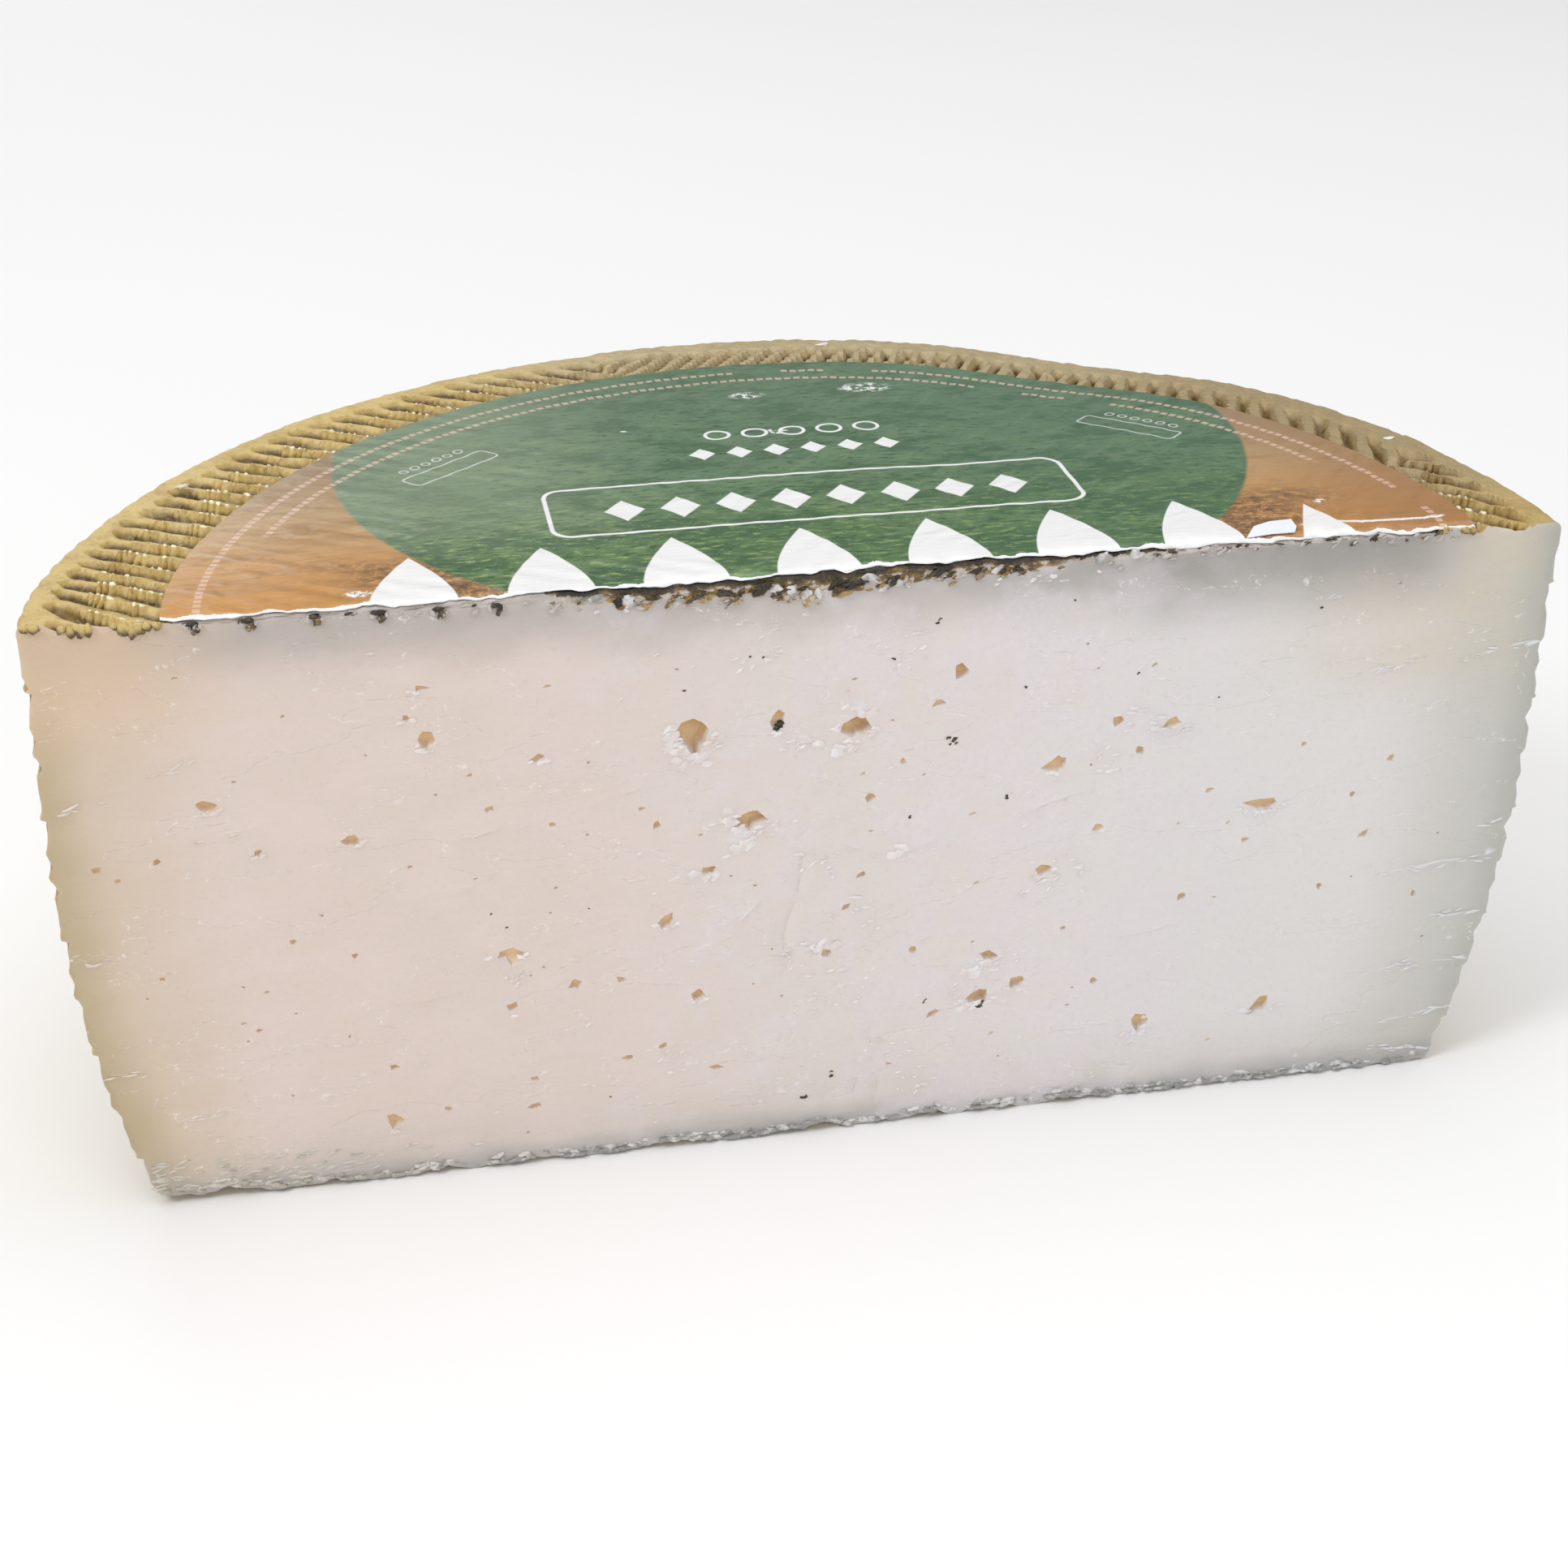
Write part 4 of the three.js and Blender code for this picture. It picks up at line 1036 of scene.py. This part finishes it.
def paste_flakes():
    """Small flakes and crumbs of paste on the cut side, round its eyes and along the torn lines."""
    bits = Bits(32)
    draw, normal = bits.draw, bits.normal
    for cx, cz, reach in CRUMBLY:
        for _ in range(int(3 + 2.4 * reach)):
            a, far = draw(0, 2 * math.pi), reach * draw(0.1, 1) ** 0.8 * 0.8
            size = draw(0.14, 0.46)
            x, z = cx + far * math.cos(a), cz + far * math.sin(a) * 0.7
            bits.flake(x, z, (size * draw(0.8, 2.0), size * 0.55), 0.12, 0.45, draw(-0.3, 0.8), 0.02)
    for (x0, z0), (x1, z1) in TEARS:
        length, slope = math.hypot(x1 - x0, z1 - z0), math.atan2(z1 - z0, x1 - x0)
        for t in draw(0, 1, int(length * 0.9)) ** 1.3:
            x = x0 + (x1 - x0) * t
            z = z0 + (z1 - z0) * t + normal(0, 0.3) + 0.5 * float(noise(x / 3, z0, 90))
            size = draw(0.14, 0.36) * (1.3 - 0.7 * t)
            bits.flake(x, z, (size * 3.0, size * 0.5), 0.11, 0.4, slope + draw(-0.3, 0.3))
    for cx, cz, wide, high in FACES:
        for _ in range(int(2 + 2 * wide)):
            x, z = cx + normal(0, 0.55) * wide, cz + normal(0, 0.55) * high
            size = draw(0.35, 0.95)
            bits.flake(x, z, (size * 1.3, size * 0.8), 0.13, 0.4, draw(-0.4, 0.8))
    for lobes in EYES[:FLAKED_EYES]:
        x, z, wide, high, _ = lobes[0]
        for a in draw(1.08, 1.95, int(1.6 * max(wide, high))) * math.pi:
            px, pz = x + (0.58 * wide + 0.2) * math.cos(a), z + (0.58 * high + 0.25) * math.sin(a)
            size = draw(0.2, 0.5)
            bits.flake(px, pz, (size * 1.4, size * 0.7), 0.13, 0.45, draw(-0.3, 0.6), 0.03)
    for x, z in zip(bits.triangular(-75, 12, 78, 120), draw(3, 84, 120)):
        size = draw(0.12, 0.34)
        bits.flake(x, z, (size * 1.6, size * 0.6), 0.1, 0.45, draw(-0.3, 0.7))
    for x in draw(-36, 40, 12):
        size = draw(0.2, 0.45)
        centre = on_cut(x, float(np.interp(x, *np.array(PASTE_TOP).T)) - draw(0.3, 1.8), 0.05)
        bits.lump(centre, (size * 1.3, 0.2, size * 0.7), 0.45, 0, 0, draw(-0.6, 0.6))
    return bits.mesh("paste_flakes", [flake_material()], 50)


def foot_crumbs():
    """The ragged lower edge of the cut: crumbs and shreds that the knife left."""
    bits = Bits(33)
    draw = bits.draw
    for x in draw(-95, 95, 240):
        size = draw(0.25, 0.7)
        z = draw(0.45, 1.3) + (size > 0.5) * 0.2 + 0.8 * float(torn_up(x))
        place = (x, held_out(draw(-0.1, 0.25), 0.4), z)
        bits.lump(place, (size * 1.5, 0.3, size * 0.55), 0.4, 0, draw(0, 1), draw(-0.4, 0.4))
    for x in draw(-96, 95, 110):
        size = draw(0.5, 1.2)
        low = draw(0.52, 0.8) + 0.9 * float(torn_up(x)) + 0.4 * bell(x, -90, 20)
        place = (x, held_out(draw(-0.5, -0.1), 0.45), low)
        bits.lump(place, (size, 0.35, draw(0.22, 0.36)), 0.35, 0, draw(-1.2, 0.2), draw(-0.2, 0.2))
    for x, z in zip(bits.normal(-84, 14, 90).clip(-97, -40), draw(1, 6.5, 90)):
        size = draw(0.15, 0.4)
        bits.lump(on_cut(x, z, 0.0), (size * 3.4, 0.12, size * 0.6), 0.4, 0, 1.0, draw(0, 0.4))
    return bits.mesh("foot_crumbs", [crumb_material()], 50)


def mould_specks():
    bits = Bits(34)
    for x, z, size in SPECKS:
        for _ in range(2 + (size > 0.5)):
            px, pz = x + bits.normal(0, size * 0.22), z + bits.normal(0, size * 0.2)
            lean = bits.draw(-0.2, 1.2)
            bits.lump(on_cut(px, pz, 0.0), (size * 0.42, 0.1, size * 0.24), 0.45, 0, 0, lean)
    bits.lump((unsettled(-6.7, 0)[0], 0.75, 67.2), (1.0, 0.5, 0.65), 0.4)
    return bits.mesh("mould_specks", [speck_material()], 50)


def rind_chips():
    """Bare white spots on the ridges of the crown."""
    bits = Bits(35)
    for x, y in CHIPS:
        bits.lump((x, y, WHEEL_HEIGHT + 0.02), (1.0, 0.55, 0.2), 0.3, 0, 0, 0.1)
    return bits.mesh("rind_chips", [flake_material()], 50)


# Materials

def srgb(*numbers):
    """A colour seen in the photograph's 0 to 255 scale, as linear light."""
    shares = [v / 255 for v in numbers]
    return (*[v / 12.92 if v <= 0.04045 else ((v + 0.055) / 1.055) ** 2.4 for v in shares], 1.0)


def node(tree, kind, output, inputs, **settings):
    """Makes a shader node from its settings and inputs, and gives one of its outputs."""
    made = tree.nodes.new("ShaderNode" + kind)
    for key, value in settings.items():
        setattr(made, key, value)
    for key, value in inputs.items():
        put(tree, value, made.inputs[key])
    return Value(tree, made.outputs[output])


def put(tree, value, socket):
    """Links a value into a socket, or writes a plain number or colour there."""
    if isinstance(value, Value):
        tree.links.new(value.socket, socket)
    else:
        socket.default_value = value


class Value:
    """A number inside a material's nodes. It can be reckoned with like a plain number."""

    def __init__(self, tree, socket):
        self.tree, self.socket = tree, socket

    def reckon(self, operation, *others):
        return node(self.tree, "Math", 0, dict(enumerate((self, *others))), operation=operation)

    def __rsub__(self, other):
        return (self * -1) + other

    def __neg__(self):
        return self * -1

    def above(self, low, high):
        """0 below the low value, 1 above the high one, and smooth between them."""
        inputs = {"Value": self, "From Min": low, "From Max": high}
        return node(self.tree, "MapRange", "Result", inputs, interpolation_type="SMOOTHSTEP")

    def below(self, low, high):
        return 1 - self.above(low, high)

    def within(self, low, high, soft):
        return self.above(low - soft, low + soft) * self.below(high - soft, high + soft)


for method, operation in (
    ("__add__", "ADD"), ("__radd__", "ADD"), ("__sub__", "SUBTRACT"), ("__mul__", "MULTIPLY"),
    ("__rmul__", "MULTIPLY"), ("__truediv__", "DIVIDE"), ("__abs__", "ABSOLUTE"), ("power", "POWER"),
    ("least", "MINIMUM"), ("most", "MAXIMUM"), ("part", "FRACT"), ("floor", "FLOOR"), ("root", "SQRT"),
    ("sine", "SINE"), ("angle", "ARCTAN2"),
):
    setattr(Value, method, functools.partialmethod(Value.reckon, operation))


class Paint:
    """One material: its surface settings, and the places and patterns that its colours are made of."""

    def __init__(self, name, settings):
        self.material = bpy.data.materials.new(name)
        self.material.use_nodes = True
        self.tree = self.material.node_tree
        self.shader = self.tree.nodes["Principled BSDF"]
        for key, value in settings.items():
            self.use(key, value)
        inputs = {0: self.node("TexCoord", "Object"), 1: (1000, 1000, 1000), 2: (-AXIS_X, -CUT_Y, 0)}
        self.place = self.node("VectorMath", "Vector", inputs, operation="MULTIPLY_ADD")
        self.x, self.y, self.z = [self.node("SeparateXYZ", k, {"Vector": self.place}) for k in range(3)]
        self.tone = self.node("Attribute", "Fac", attribute_name="tone")

    def node(self, kind, output, inputs=None, **settings):
        return node(self.tree, kind, output, inputs or {}, **settings)

    def grain(self, size, detail=3.0, rough=0.55, tilt=(0, 0, 0)):
        """Cloudy noise from 0 to 1. The size is in millimetres, one number or one for each axis, and the
        noise is turned by the tilt in degrees."""
        sizes = size if isinstance(size, tuple) else (size, size, size)
        turn = {"Rotation": [t * TURN for t in tilt], "Scale": [1 / s for s in sizes], "Vector": self.place}
        turned = self.node("Mapping", "Vector", turn)
        inputs = {"Vector": turned, "Scale": 1.0, "Detail": detail, "Roughness": rough}
        return self.node("TexNoise", "Fac", inputs)

    def mix(self, share, first, second):
        """Blends two colours. A colour is a value, or three numbers from 0 to 255."""
        first, second = [srgb(*c) if isinstance(c, tuple) else c for c in (first, second)]
        return self.node("Mix", 2, {0: share, 6: first, 7: second}, data_type="RGBA")

    def tint(self, base, *layers):
        """Lays colours over a base one after another. Each layer is a share and a colour."""
        for share, colour in layers:
            base = self.mix(share, base, colour)
        return base

    def use(self, name, value):
        put(self.tree, value, self.shader.inputs[name])

    def finish(self, colour, height, distance_mm, strength=1.0):
        """Sets the colour and the fine relief, and gives the material."""
        self.use("Base Color", colour)
        inputs = {"Strength": strength, "Distance": distance_mm / 1000, "Height": height}
        self.use("Normal", self.node("Bump", "Normal", inputs))
        return self.material


def paste_colour(paint):
    """Warm ivory at the left, cooler at the right, and darker towards the rind: partly the paste's own
    colour, partly painted shade under the label's edge and near the floor.
    """
    x, z = paint.x, paint.z
    drift = paint.grain((15, 15, 8), 3, 0.5)
    taper = (1 - (z / WAIST_Z).least(1)).power(2) * FOOT_TAPER
    inside = WHEEL_RADIUS - taper - abs(x)
    side = inside + (drift - 0.5) * (6 - x.above(0, 40) * 4)
    under_top = 88.5 - z + (drift - 0.5) * 6
    from_foot = z + (drift - 0.5) * 5
    to_right = (x + (drift - 0.5) * 60).above(-75, 60)
    left, right = x.below(-40, 10), x.above(10, 60)
    warm = x.above(54, 86) * z.above(58, 78) * (0.4 + drift.above(0.42, 0.64) * 0.25)
    # shade: painted shade in a band under the label's edge, over paste that is greyer there too.
    shade = under_top.below(0, 10 + right * 4) * (0.6 + right * 0.36) * x.below(82, 98)
    return paint.tint(
        paint.mix(to_right, (227, 211, 201), (228, 224, 222)),
        (drift.above(0.45, 0.6) * (1 - right) * 0.35, (232, 215, 209)),
        (side.below(2, 26) * left * 0.7, (212, 192, 164)),
        (side.below(0, 9) * left * 0.8, (188, 170, 134)),
        (side.below(2, 27) * right * 0.9, (200, 199, 192)),
        (warm, (214, 202, 178)),
        (inside.below(-0.6, 1.6) * 0.5, (148, 138, 112)),
        (side.below(-1, 7) * right * 0.75, (176, 178, 172)),
        (shade, (164, 160, 155)),
        (under_top.below(4, 22) * x.below(-96, -72) * 0.75, (224, 197, 167)),
        # Greyer towards the foot, with a dark line at the floor: painted shade near the floor.
        (from_foot.below(1, 13) * 0.4, (202, 194, 186)),
        (from_foot.below(0, 5.5) * 0.7, (166, 166, 166)),
    )


def paste_material():
    paint = Paint("paste", {
        "Roughness": 0.46, "Subsurface Weight": 0.2, "Subsurface Scale": 0.003,
        "Subsurface Radius": (1.0, 0.8, 0.65), "Specular IOR Level": 0.35,
    })
    eye = -paint.tone
    mottled = paint.grain(1.0, 3, 0.7)
    crumbly = paint.grain((11, 11, 9), 2, 0.6) + paint.x.above(-30, 40) * 0.12
    crumbs = crumbly.above(0.5, 0.68) * paint.x.within(-28, 52, 22)
    field = paint.grain((42, 42, 17), 5, 0.55, (0, 16, 0))
    steps = field.above(0.5, 0.506)
    edges = field.within(0.502, 0.506, 0.0015) * mottled.above(0.45, 0.6)
    smear = paint.mix(paint.x.above(-70, 20), (230, 214, 198), (232, 234, 242))
    colour = paint.tint(
        paste_colour(paint),
        (crumbs * 0.45, (230, 222, 226)),
        (mottled.above(0.56, 0.68) * crumbs * 0.35, (240, 233, 232)),
        (mottled.below(0.32, 0.44) * 0.15, (202, 188, 178)),
        (edges * 0.6, (246, 240, 238)),
        (paint.tone.above(1.1, 2.4) * 0.8, smear),
        # Golden inside the eyes, and deep brown-gold where the tone is deepest; in an eye's upper part that
        # is painted shade.
        (eye.above(0.05, 0.4) * 0.88, (235, 203, 154)),
        (eye.above(0.45, 0.9) * 0.7, (202, 146, 74)),
    )
    streaks = paint.grain((9, 9, 0.5), 2, 0.6, (0, 8, 0))
    soft = paint.grain((3.5, 3.5, 2), 4, 0.65)
    height = streaks * 0.4 + soft + steps * 0.4 + mottled * crumbly.above(0.4, 0.65) * 0.8
    return paint.finish(colour, height, 0.2, 0.8)


@functools.cache
def rind_material():
    paint = Paint("rind", {"Specular IOR Level": 0.6})
    tone = paint.tone
    to_back = paint.x.above(-52, -14) * paint.y.above(6, 24)
    patches = paint.grain(8, 3, 0.6)
    mottled = paint.grain(0.9, 4, 0.7)
    dull = 1 - to_back * 0.7
    # Painted highlight: near-white glints on the tips of the beads, which are also made glossier.
    painted_glint = tone.above(0.91, 1.01)
    high = paint.mix(to_back, (210, 184, 117), (188, 170, 130))
    low = paint.mix(to_back, (86, 60, 18), (82, 58, 24))
    # Dark in the grooves and pits and bright on the crests, by the tone: partly the rind's own two tones,
    # partly painted shade in the hollows.
    colour = paint.tint(
        paint.mix((tone + (mottled - 0.5) * 0.3).above(0.12, 0.6), low, high),
        (patches.above(0.5, 0.62) * dull * 0.4, (172, 142, 80)),
        (patches.below(0.36, 0.46) * dull * 0.3, (208, 188, 138)),
        (mottled.above(0.54, 0.66) * dull * 0.3, (217, 197, 144)),
        (mottled.below(0.34, 0.46) * 0.35, (136, 108, 56)),
        (paint.x.above(50, 84) * 0.4, (152, 122, 64)),
        (paint.x.above(-10, 50) * to_back * 0.15, (122, 106, 70)),
        (painted_glint * (1 - to_back) * 0.9, (255, 246, 214)),
    )
    paint.use("Roughness", 0.45 - painted_glint * 0.27)
    return paint.finish(colour, paint.grain(0.4, 2, 0.7) * 0.6 + mottled * 0.7, 0.16, 0.8)


@functools.cache
def rind_edge_material():
    """Dark, mouldy edge of the rind, with golden lumps: golden at tone 0 and black at tone 1.
    The black near the label is partly painted shadow under it.
    """
    paint = Paint("rind edge", {"Roughness": 0.35})
    tone = paint.tone
    lumps = paint.grain((3.0, 3.0, 1.5), 4, 0.65, (0, -30, 0))
    fine = paint.grain(0.6, 2, 0.6)
    dark = tone * 1.2 - (lumps - 0.5) * 2.8
    ends = paint.x.above(30, 40).most(paint.x.below(-37, -28))
    bare = (lumps + fine * 0.2).above(0.6, 0.66) * tone.below(0.5, 0.75)
    bare = bare.most(ends * (tone + (fine - 0.5) * 0.8).below(0.6, 0.75)) * paint.x.above(-86.5, -85.5)
    colour = paint.tint(
        (176, 146, 88),
        (fine.above(0.55, 0.68) * 0.5, (214, 192, 142)),
        (dark.above(0.15, 0.5) * 0.85, (126, 100, 54)),
        (dark.above(0.5, 0.85) * 0.9, (72, 60, 42)),
        (dark.above(0.88, 1.2) * 0.85, (36, 33, 30)),
        (bare, (200, 192, 184)),
    )
    return paint.finish(colour, fine + lumps, 0.4)


@functools.cache
def flake_material():
    paint = Paint("flakes", {"Roughness": 0.42})
    colour = paint.tint(
        paint.mix(paint.grain(2.5).above(0.4, 0.6), (232, 222, 218), (243, 238, 237)),
        (paint.x.below(-80, -40) * 0.6, (226, 211, 195)),
        (paint.x.above(30, 70) * 0.6, (226, 228, 234)),
    )
    return paint.finish(colour, paint.grain(0.3), 0.12)


@functools.cache
def crumb_material():
    paint = Paint("crumbs", {"Roughness": 0.35})
    pale = (paint.grain(2.2, 3) + paint.tone * 0.1).above(0.42, 0.62)
    colour = paint.mix(pale, (158, 158, 154), (222, 220, 218))
    colour = paint.mix(paint.x.below(-80, -40) * 0.5, colour, (208, 196, 172))
    return paint.finish(colour, paint.grain(0.35), 0.15)


def speck_material():
    paint = Paint("mould", {"Roughness": 0.7})
    colour = paint.mix(paint.grain(0.5).above(0.4, 0.7), (46, 46, 34), (96, 92, 62))
    return paint.finish(colour, paint.grain(0.25), 0.15)


def flap_material():
    paint = Paint("paper back", {"Roughness": 0.4})
    return paint.finish(paint.mix(paint.grain(3.0), (222, 228, 244), (243, 245, 250)), paint.grain(0.5), 0.08)


# The label's print, by place on the paper

def box_edge(x, y, centre, half, corner):
    """Distance from the outline of a rectangle with rounded corners, negative inside it."""
    dx = abs(x - centre[0]) - (half[0] - corner)
    dy = abs(y - centre[1]) - (half[1] - corner)
    outside = (dx.most(0).power(2) + dy.most(0).power(2)).root()
    return outside + dx.most(dy).least(0) - corner


def lozenges(x, y, start, end, middle, pitch, half_wide, half_high):
    """A row of equal lozenges along x."""
    cell = ((x - start) / pitch).part() - 0.5
    shape = 1 - abs(cell) * (pitch / half_wide) - abs(y - middle) / half_high
    return shape.above(-0.06, 0.06) * x.within(start, end, 0.05)


def discs(x, y, start, end, middle, pitch, radius, line):
    """A row of small rings along x."""
    cell = (((x - start) / pitch).part() - 0.5) * pitch
    out = (cell.power(2) + (y - middle).power(2)).root()
    return out.within(radius - line, radius, 0.08) * x.within(start, end, 0.05)


def petals(x, y):
    """A row of large pointed petals that the knife cut through. The last one is smaller."""
    pitch, half, tip, start, end = PETALS
    cell = abs(((x - start) / pitch).part() - 0.5) * pitch
    last = x.above(61.9, 62.1)
    wide = (1 - (y / (tip - last * 4.4)).most(0).power(1.6 - last * 0.5)) * (half - last * 1.8)
    return (wide - cell).above(-0.12, 0.12) * x.within(start, end, 0.05)


def ring_dashes(paint, radius, seed):
    """Short dashes along a circle round the label's middle."""
    u = paint.u - LABEL_CENTRE[0]
    out = (u.power(2) + paint.v.power(2)).root()
    turn = paint.v.angle(u) * (radius / DASH_PITCH)
    kept = paint.node("TexWhiteNoise", "Value", {"W": (turn / 5).floor() + seed}, noise_dimensions="1D")
    dash = abs(turn.part() - 0.5).below(0.3, 0.38) * kept.above(0.05, 0.12)
    return out.within(radius - 0.5, radius + 0.5, 0.12) * dash


def label_fields(paint):
    """The fields of colour under the print."""
    u, v = paint.u, paint.v
    blades = paint.grain((3.0, 0.9, 9), 4, 0.75, (0, 0, -7))
    clumps = paint.grain((11, 5, 11), 4, 0.65)
    bands = paint.grain((14, 4, 14), 3, 0.6)
    soil_grain = paint.grain((1.7, 1.3, 1.7), 4, 0.75)
    low = v.below(12, 42)
    green = paint.tint(
        (98, 128, 98),
        (low * 0.75, (84, 118, 60)),
        (clumps.above(0.5, 0.58) * 0.8, (56, 94, 58)),
        (clumps.below(0.36, 0.46) * 0.5, (124, 150, 104)),
        (blades.above(0.55, 0.62) * (0.2 + low * 0.6), (160, 178, 112)),
        (blades.below(0.38, 0.46) * 0.85, (38, 72, 42)),
        # Painted reflection: the green is paler and hazier over the upper part and towards the upper left.
        (v.above(40, 84) * 0.35, (104, 128, 108)),
        (u.below(-50, -8) * v.above(6, 36) * 0.5, (150, 164, 136)),
        (u.above(8, 44) * 0.4, (62, 104, 72)),
        (u.within(-24, 30, 16) * 0.25, (66, 104, 64)),
    )
    sand = paint.tint(
        (190, 156, 110),
        (v.below(4, 36) * 0.9, (202, 142, 66)),
        (bands.above(0.5, 0.62) * 0.4, (158, 116, 66)),
        (v.above(26, 56) * 0.7, (148, 126, 100)),
        (u.above(62, 88) * 0.6, (150, 106, 66)),
    )
    soil = paint.tint(
        (128, 92, 54),
        (soil_grain.above(0.5, 0.6) * 0.85, (204, 152, 92)),
        (soil_grain.below(0.38, 0.47) * 0.85, (60, 50, 32)),
    )
    wobble = (clumps - 0.5) * 12
    out = ((u - FIELD_MIDDLE[0]).power(2) + (v - FIELD_MIDDLE[1]).power(2)).root()
    patch = (out + wobble).below(73, 86) * (v + wobble - u.above(0, 10) * 2).below(9, 20)
    outside = out.above(FIELD_RADIUS - 0.4, FIELD_RADIUS + 0.4)
    return paint.mix(outside, green, paint.mix(patch * 0.9, sand, soil))


def folds(paint, degrees):
    """Fine straight folds where the paper lies over the crown's ridges: -1 in a dip and 1 on a fold."""
    bent = (paint.grain((13, 9, 13), 3, 0.6) - 0.5) * 7
    across = paint.v * math.cos(degrees * TURN) - paint.u * math.sin(degrees * TURN) + bent
    return (across * (2 * math.pi / RIDGE_PITCH)).sine()


def label_print(paint):
    """Where the paper is printed white: frames, rows of simple shapes and the large petals."""
    u, v = paint.u, paint.v
    white = petals(u, v).most(abs(box_edge(u, v, *FRAME)).below(0.22, 0.42))
    white = white.most(lozenges(u, v, -28, 36, 26.8, 8.0, 2.9, 4.0))
    white = white.most(discs(u, v, -9, 20, 55.5, 5.8, 2.1, 0.55))
    white = white.most(lozenges(u, v, -12.5, 21.5, 47.5, 5.66, 2.0, 2.4))
    for degrees, middle_u, middle_v in SMALL_FRAMES:
        c, s = math.cos(degrees * TURN), math.sin(degrees * TURN)
        du, dv = u - middle_u, v - middle_v
        x, y = du * c + dv * s, dv * c - du * s
        white = white.most(abs(box_edge(x, y, (0, -1.6), (8.2, 1.9), 0.8)).below(0.1, 0.25) * 0.6)
        white = white.most(discs(x, y, -6.6, 6.6, 2.6, 2.2, 0.8, 0.3) * 0.6)
    flecks = paint.grain(1.0, 4, 0.7)
    for x, y, size in SCUFFS:
        near = ((u - x).power(2) + ((v - y) * 1.8).power(2)).root()
        white = white.most(near.below(size * 0.5, size) * flecks.above(0.47, 0.56))
    scratch = abs(v - 3.5 - (paint.grain((4, 400, 400)) - 0.5) * 2.4).below(0.2, 0.45) * u.within(68, 89, 0.5)
    return white.most(scratch).most(flecks.above(0.76, 0.8) * 0.8)


def label_material():
    paint = Paint("label print", {"Specular IOR Level": 0.6})
    paint.u, paint.v = paint.x - LABEL_SHIFT, paint.y
    outer, inner = [ring_dashes(paint, *ring) for ring in DASHES]
    dashes = outer.most(inner * paint.v.above(26, 30))
    torn = (paint.tone + (paint.grain(0.5) - 0.5) * 0.5).above(0.46, 0.54)
    share = (paint.u + paint.v * 0.4).above(-18, 0)
    fold = folds(paint, PRINT_SLANTS[0]) * (1 - share) + folds(paint, PRINT_SLANTS[1]) * share
    shown = paint.grain((13, 8, 13), 3, 0.6).above(0.42, 0.62)
    creases = paint.grain((9, 1.4, 9), 4, 0.7, (0, 0, -14))
    colour = paint.tint(
        label_fields(paint),
        # Painted highlight on the folds and painted shade in their dips and in the creases; folds and creases
        # also give the bump.
        (fold.above(0.6, 0.98) * shown * (1 - share * 0.7) * 0.16, (188, 196, 182)),
        (fold.below(-0.98, -0.6) * shown * (1 - share * 0.4) * 0.16, (44, 56, 40)),
        (creases.above(0.57, 0.66) * 0.1, (40, 54, 38)),
        (dashes * 0.65, (232, 198, 180)),
        (label_print(paint) * 0.97, (246, 246, 246)),
        (torn, (246, 246, 247)),
    )
    paint.use("Roughness", 0.17 + 0.12 * paint.grain(6) + torn * 0.4)
    return paint.finish(colour, creases * 0.5 + fold * shown * 0.35, 0.3, 0.6)


# Camera, floor and light

def placed(name, data):
    piece = bpy.data.objects.new(name, data)
    bpy.context.scene.collection.objects.link(piece)
    return piece


def camera():
    """The camera fitted to the photograph."""
    data = bpy.data.cameras.new("camera")
    data.sensor_width = 36
    data.lens = CAMERA_LENS
    piece = placed("camera", data)
    forward = Vector(CAMERA_FORWARD).normalized()
    level = forward.cross(Vector((0, 0, 1))).normalized()
    roll = CAMERA_ROLL * TURN
    right = math.cos(roll) * level + math.sin(roll) * level.cross(forward)
    turn = Matrix((right, right.cross(forward), -forward)).transposed()
    x, y, z = CAMERA_PLACE
    piece.matrix_world = Matrix.Translation(Vector((x + AXIS_X, y + CUT_Y, z)) / 1000) @ turn.to_4x4()
    bpy.context.scene.camera = piece


def area_light(name, place, aim, size, power):
    data = bpy.data.lights.new(name, "AREA")
    data.shape = "RECTANGLE"
    data.size, data.size_y = size
    data.energy = power
    lamp = placed(name, data)
    lamp.location = place
    lamp.rotation_euler = (Vector(aim) - Vector(place)).to_track_quat("-Z", "Y").to_euler()


def studio():
    scene = bpy.context.scene
    scene.view_settings.view_transform = "Standard"
    scene.world = bpy.data.worlds.new("studio")
    scene.world.use_nodes = True
    background = scene.world.node_tree.nodes["Background"]
    background.inputs["Color"].default_value = (1, 1, 1, 1)
    background.inputs["Strength"].default_value = 0.3
    for light in LIGHTS:
        area_light(*light)
    bpy.ops.mesh.primitive_circle_add(vertices=96, radius=3.0, fill_type="NGON")
    floor = bpy.context.object
    floor.name = "floor"
    settings = {"Base Color": (0.95, 0.95, 0.95, 1), "Roughness": 0.8, "Specular IOR Level": 0.1}
    floor.data.materials.append(Paint("floor", settings).material)


keep(cheese(), "cheese", "cheese")
keep(label(), "label", "label")
keep(flap(), "label")
for make in (rind_scraps, paste_flakes, foot_crumbs, mould_specks, rind_chips):
    keep(make(), "cheese")
camera()
studio()
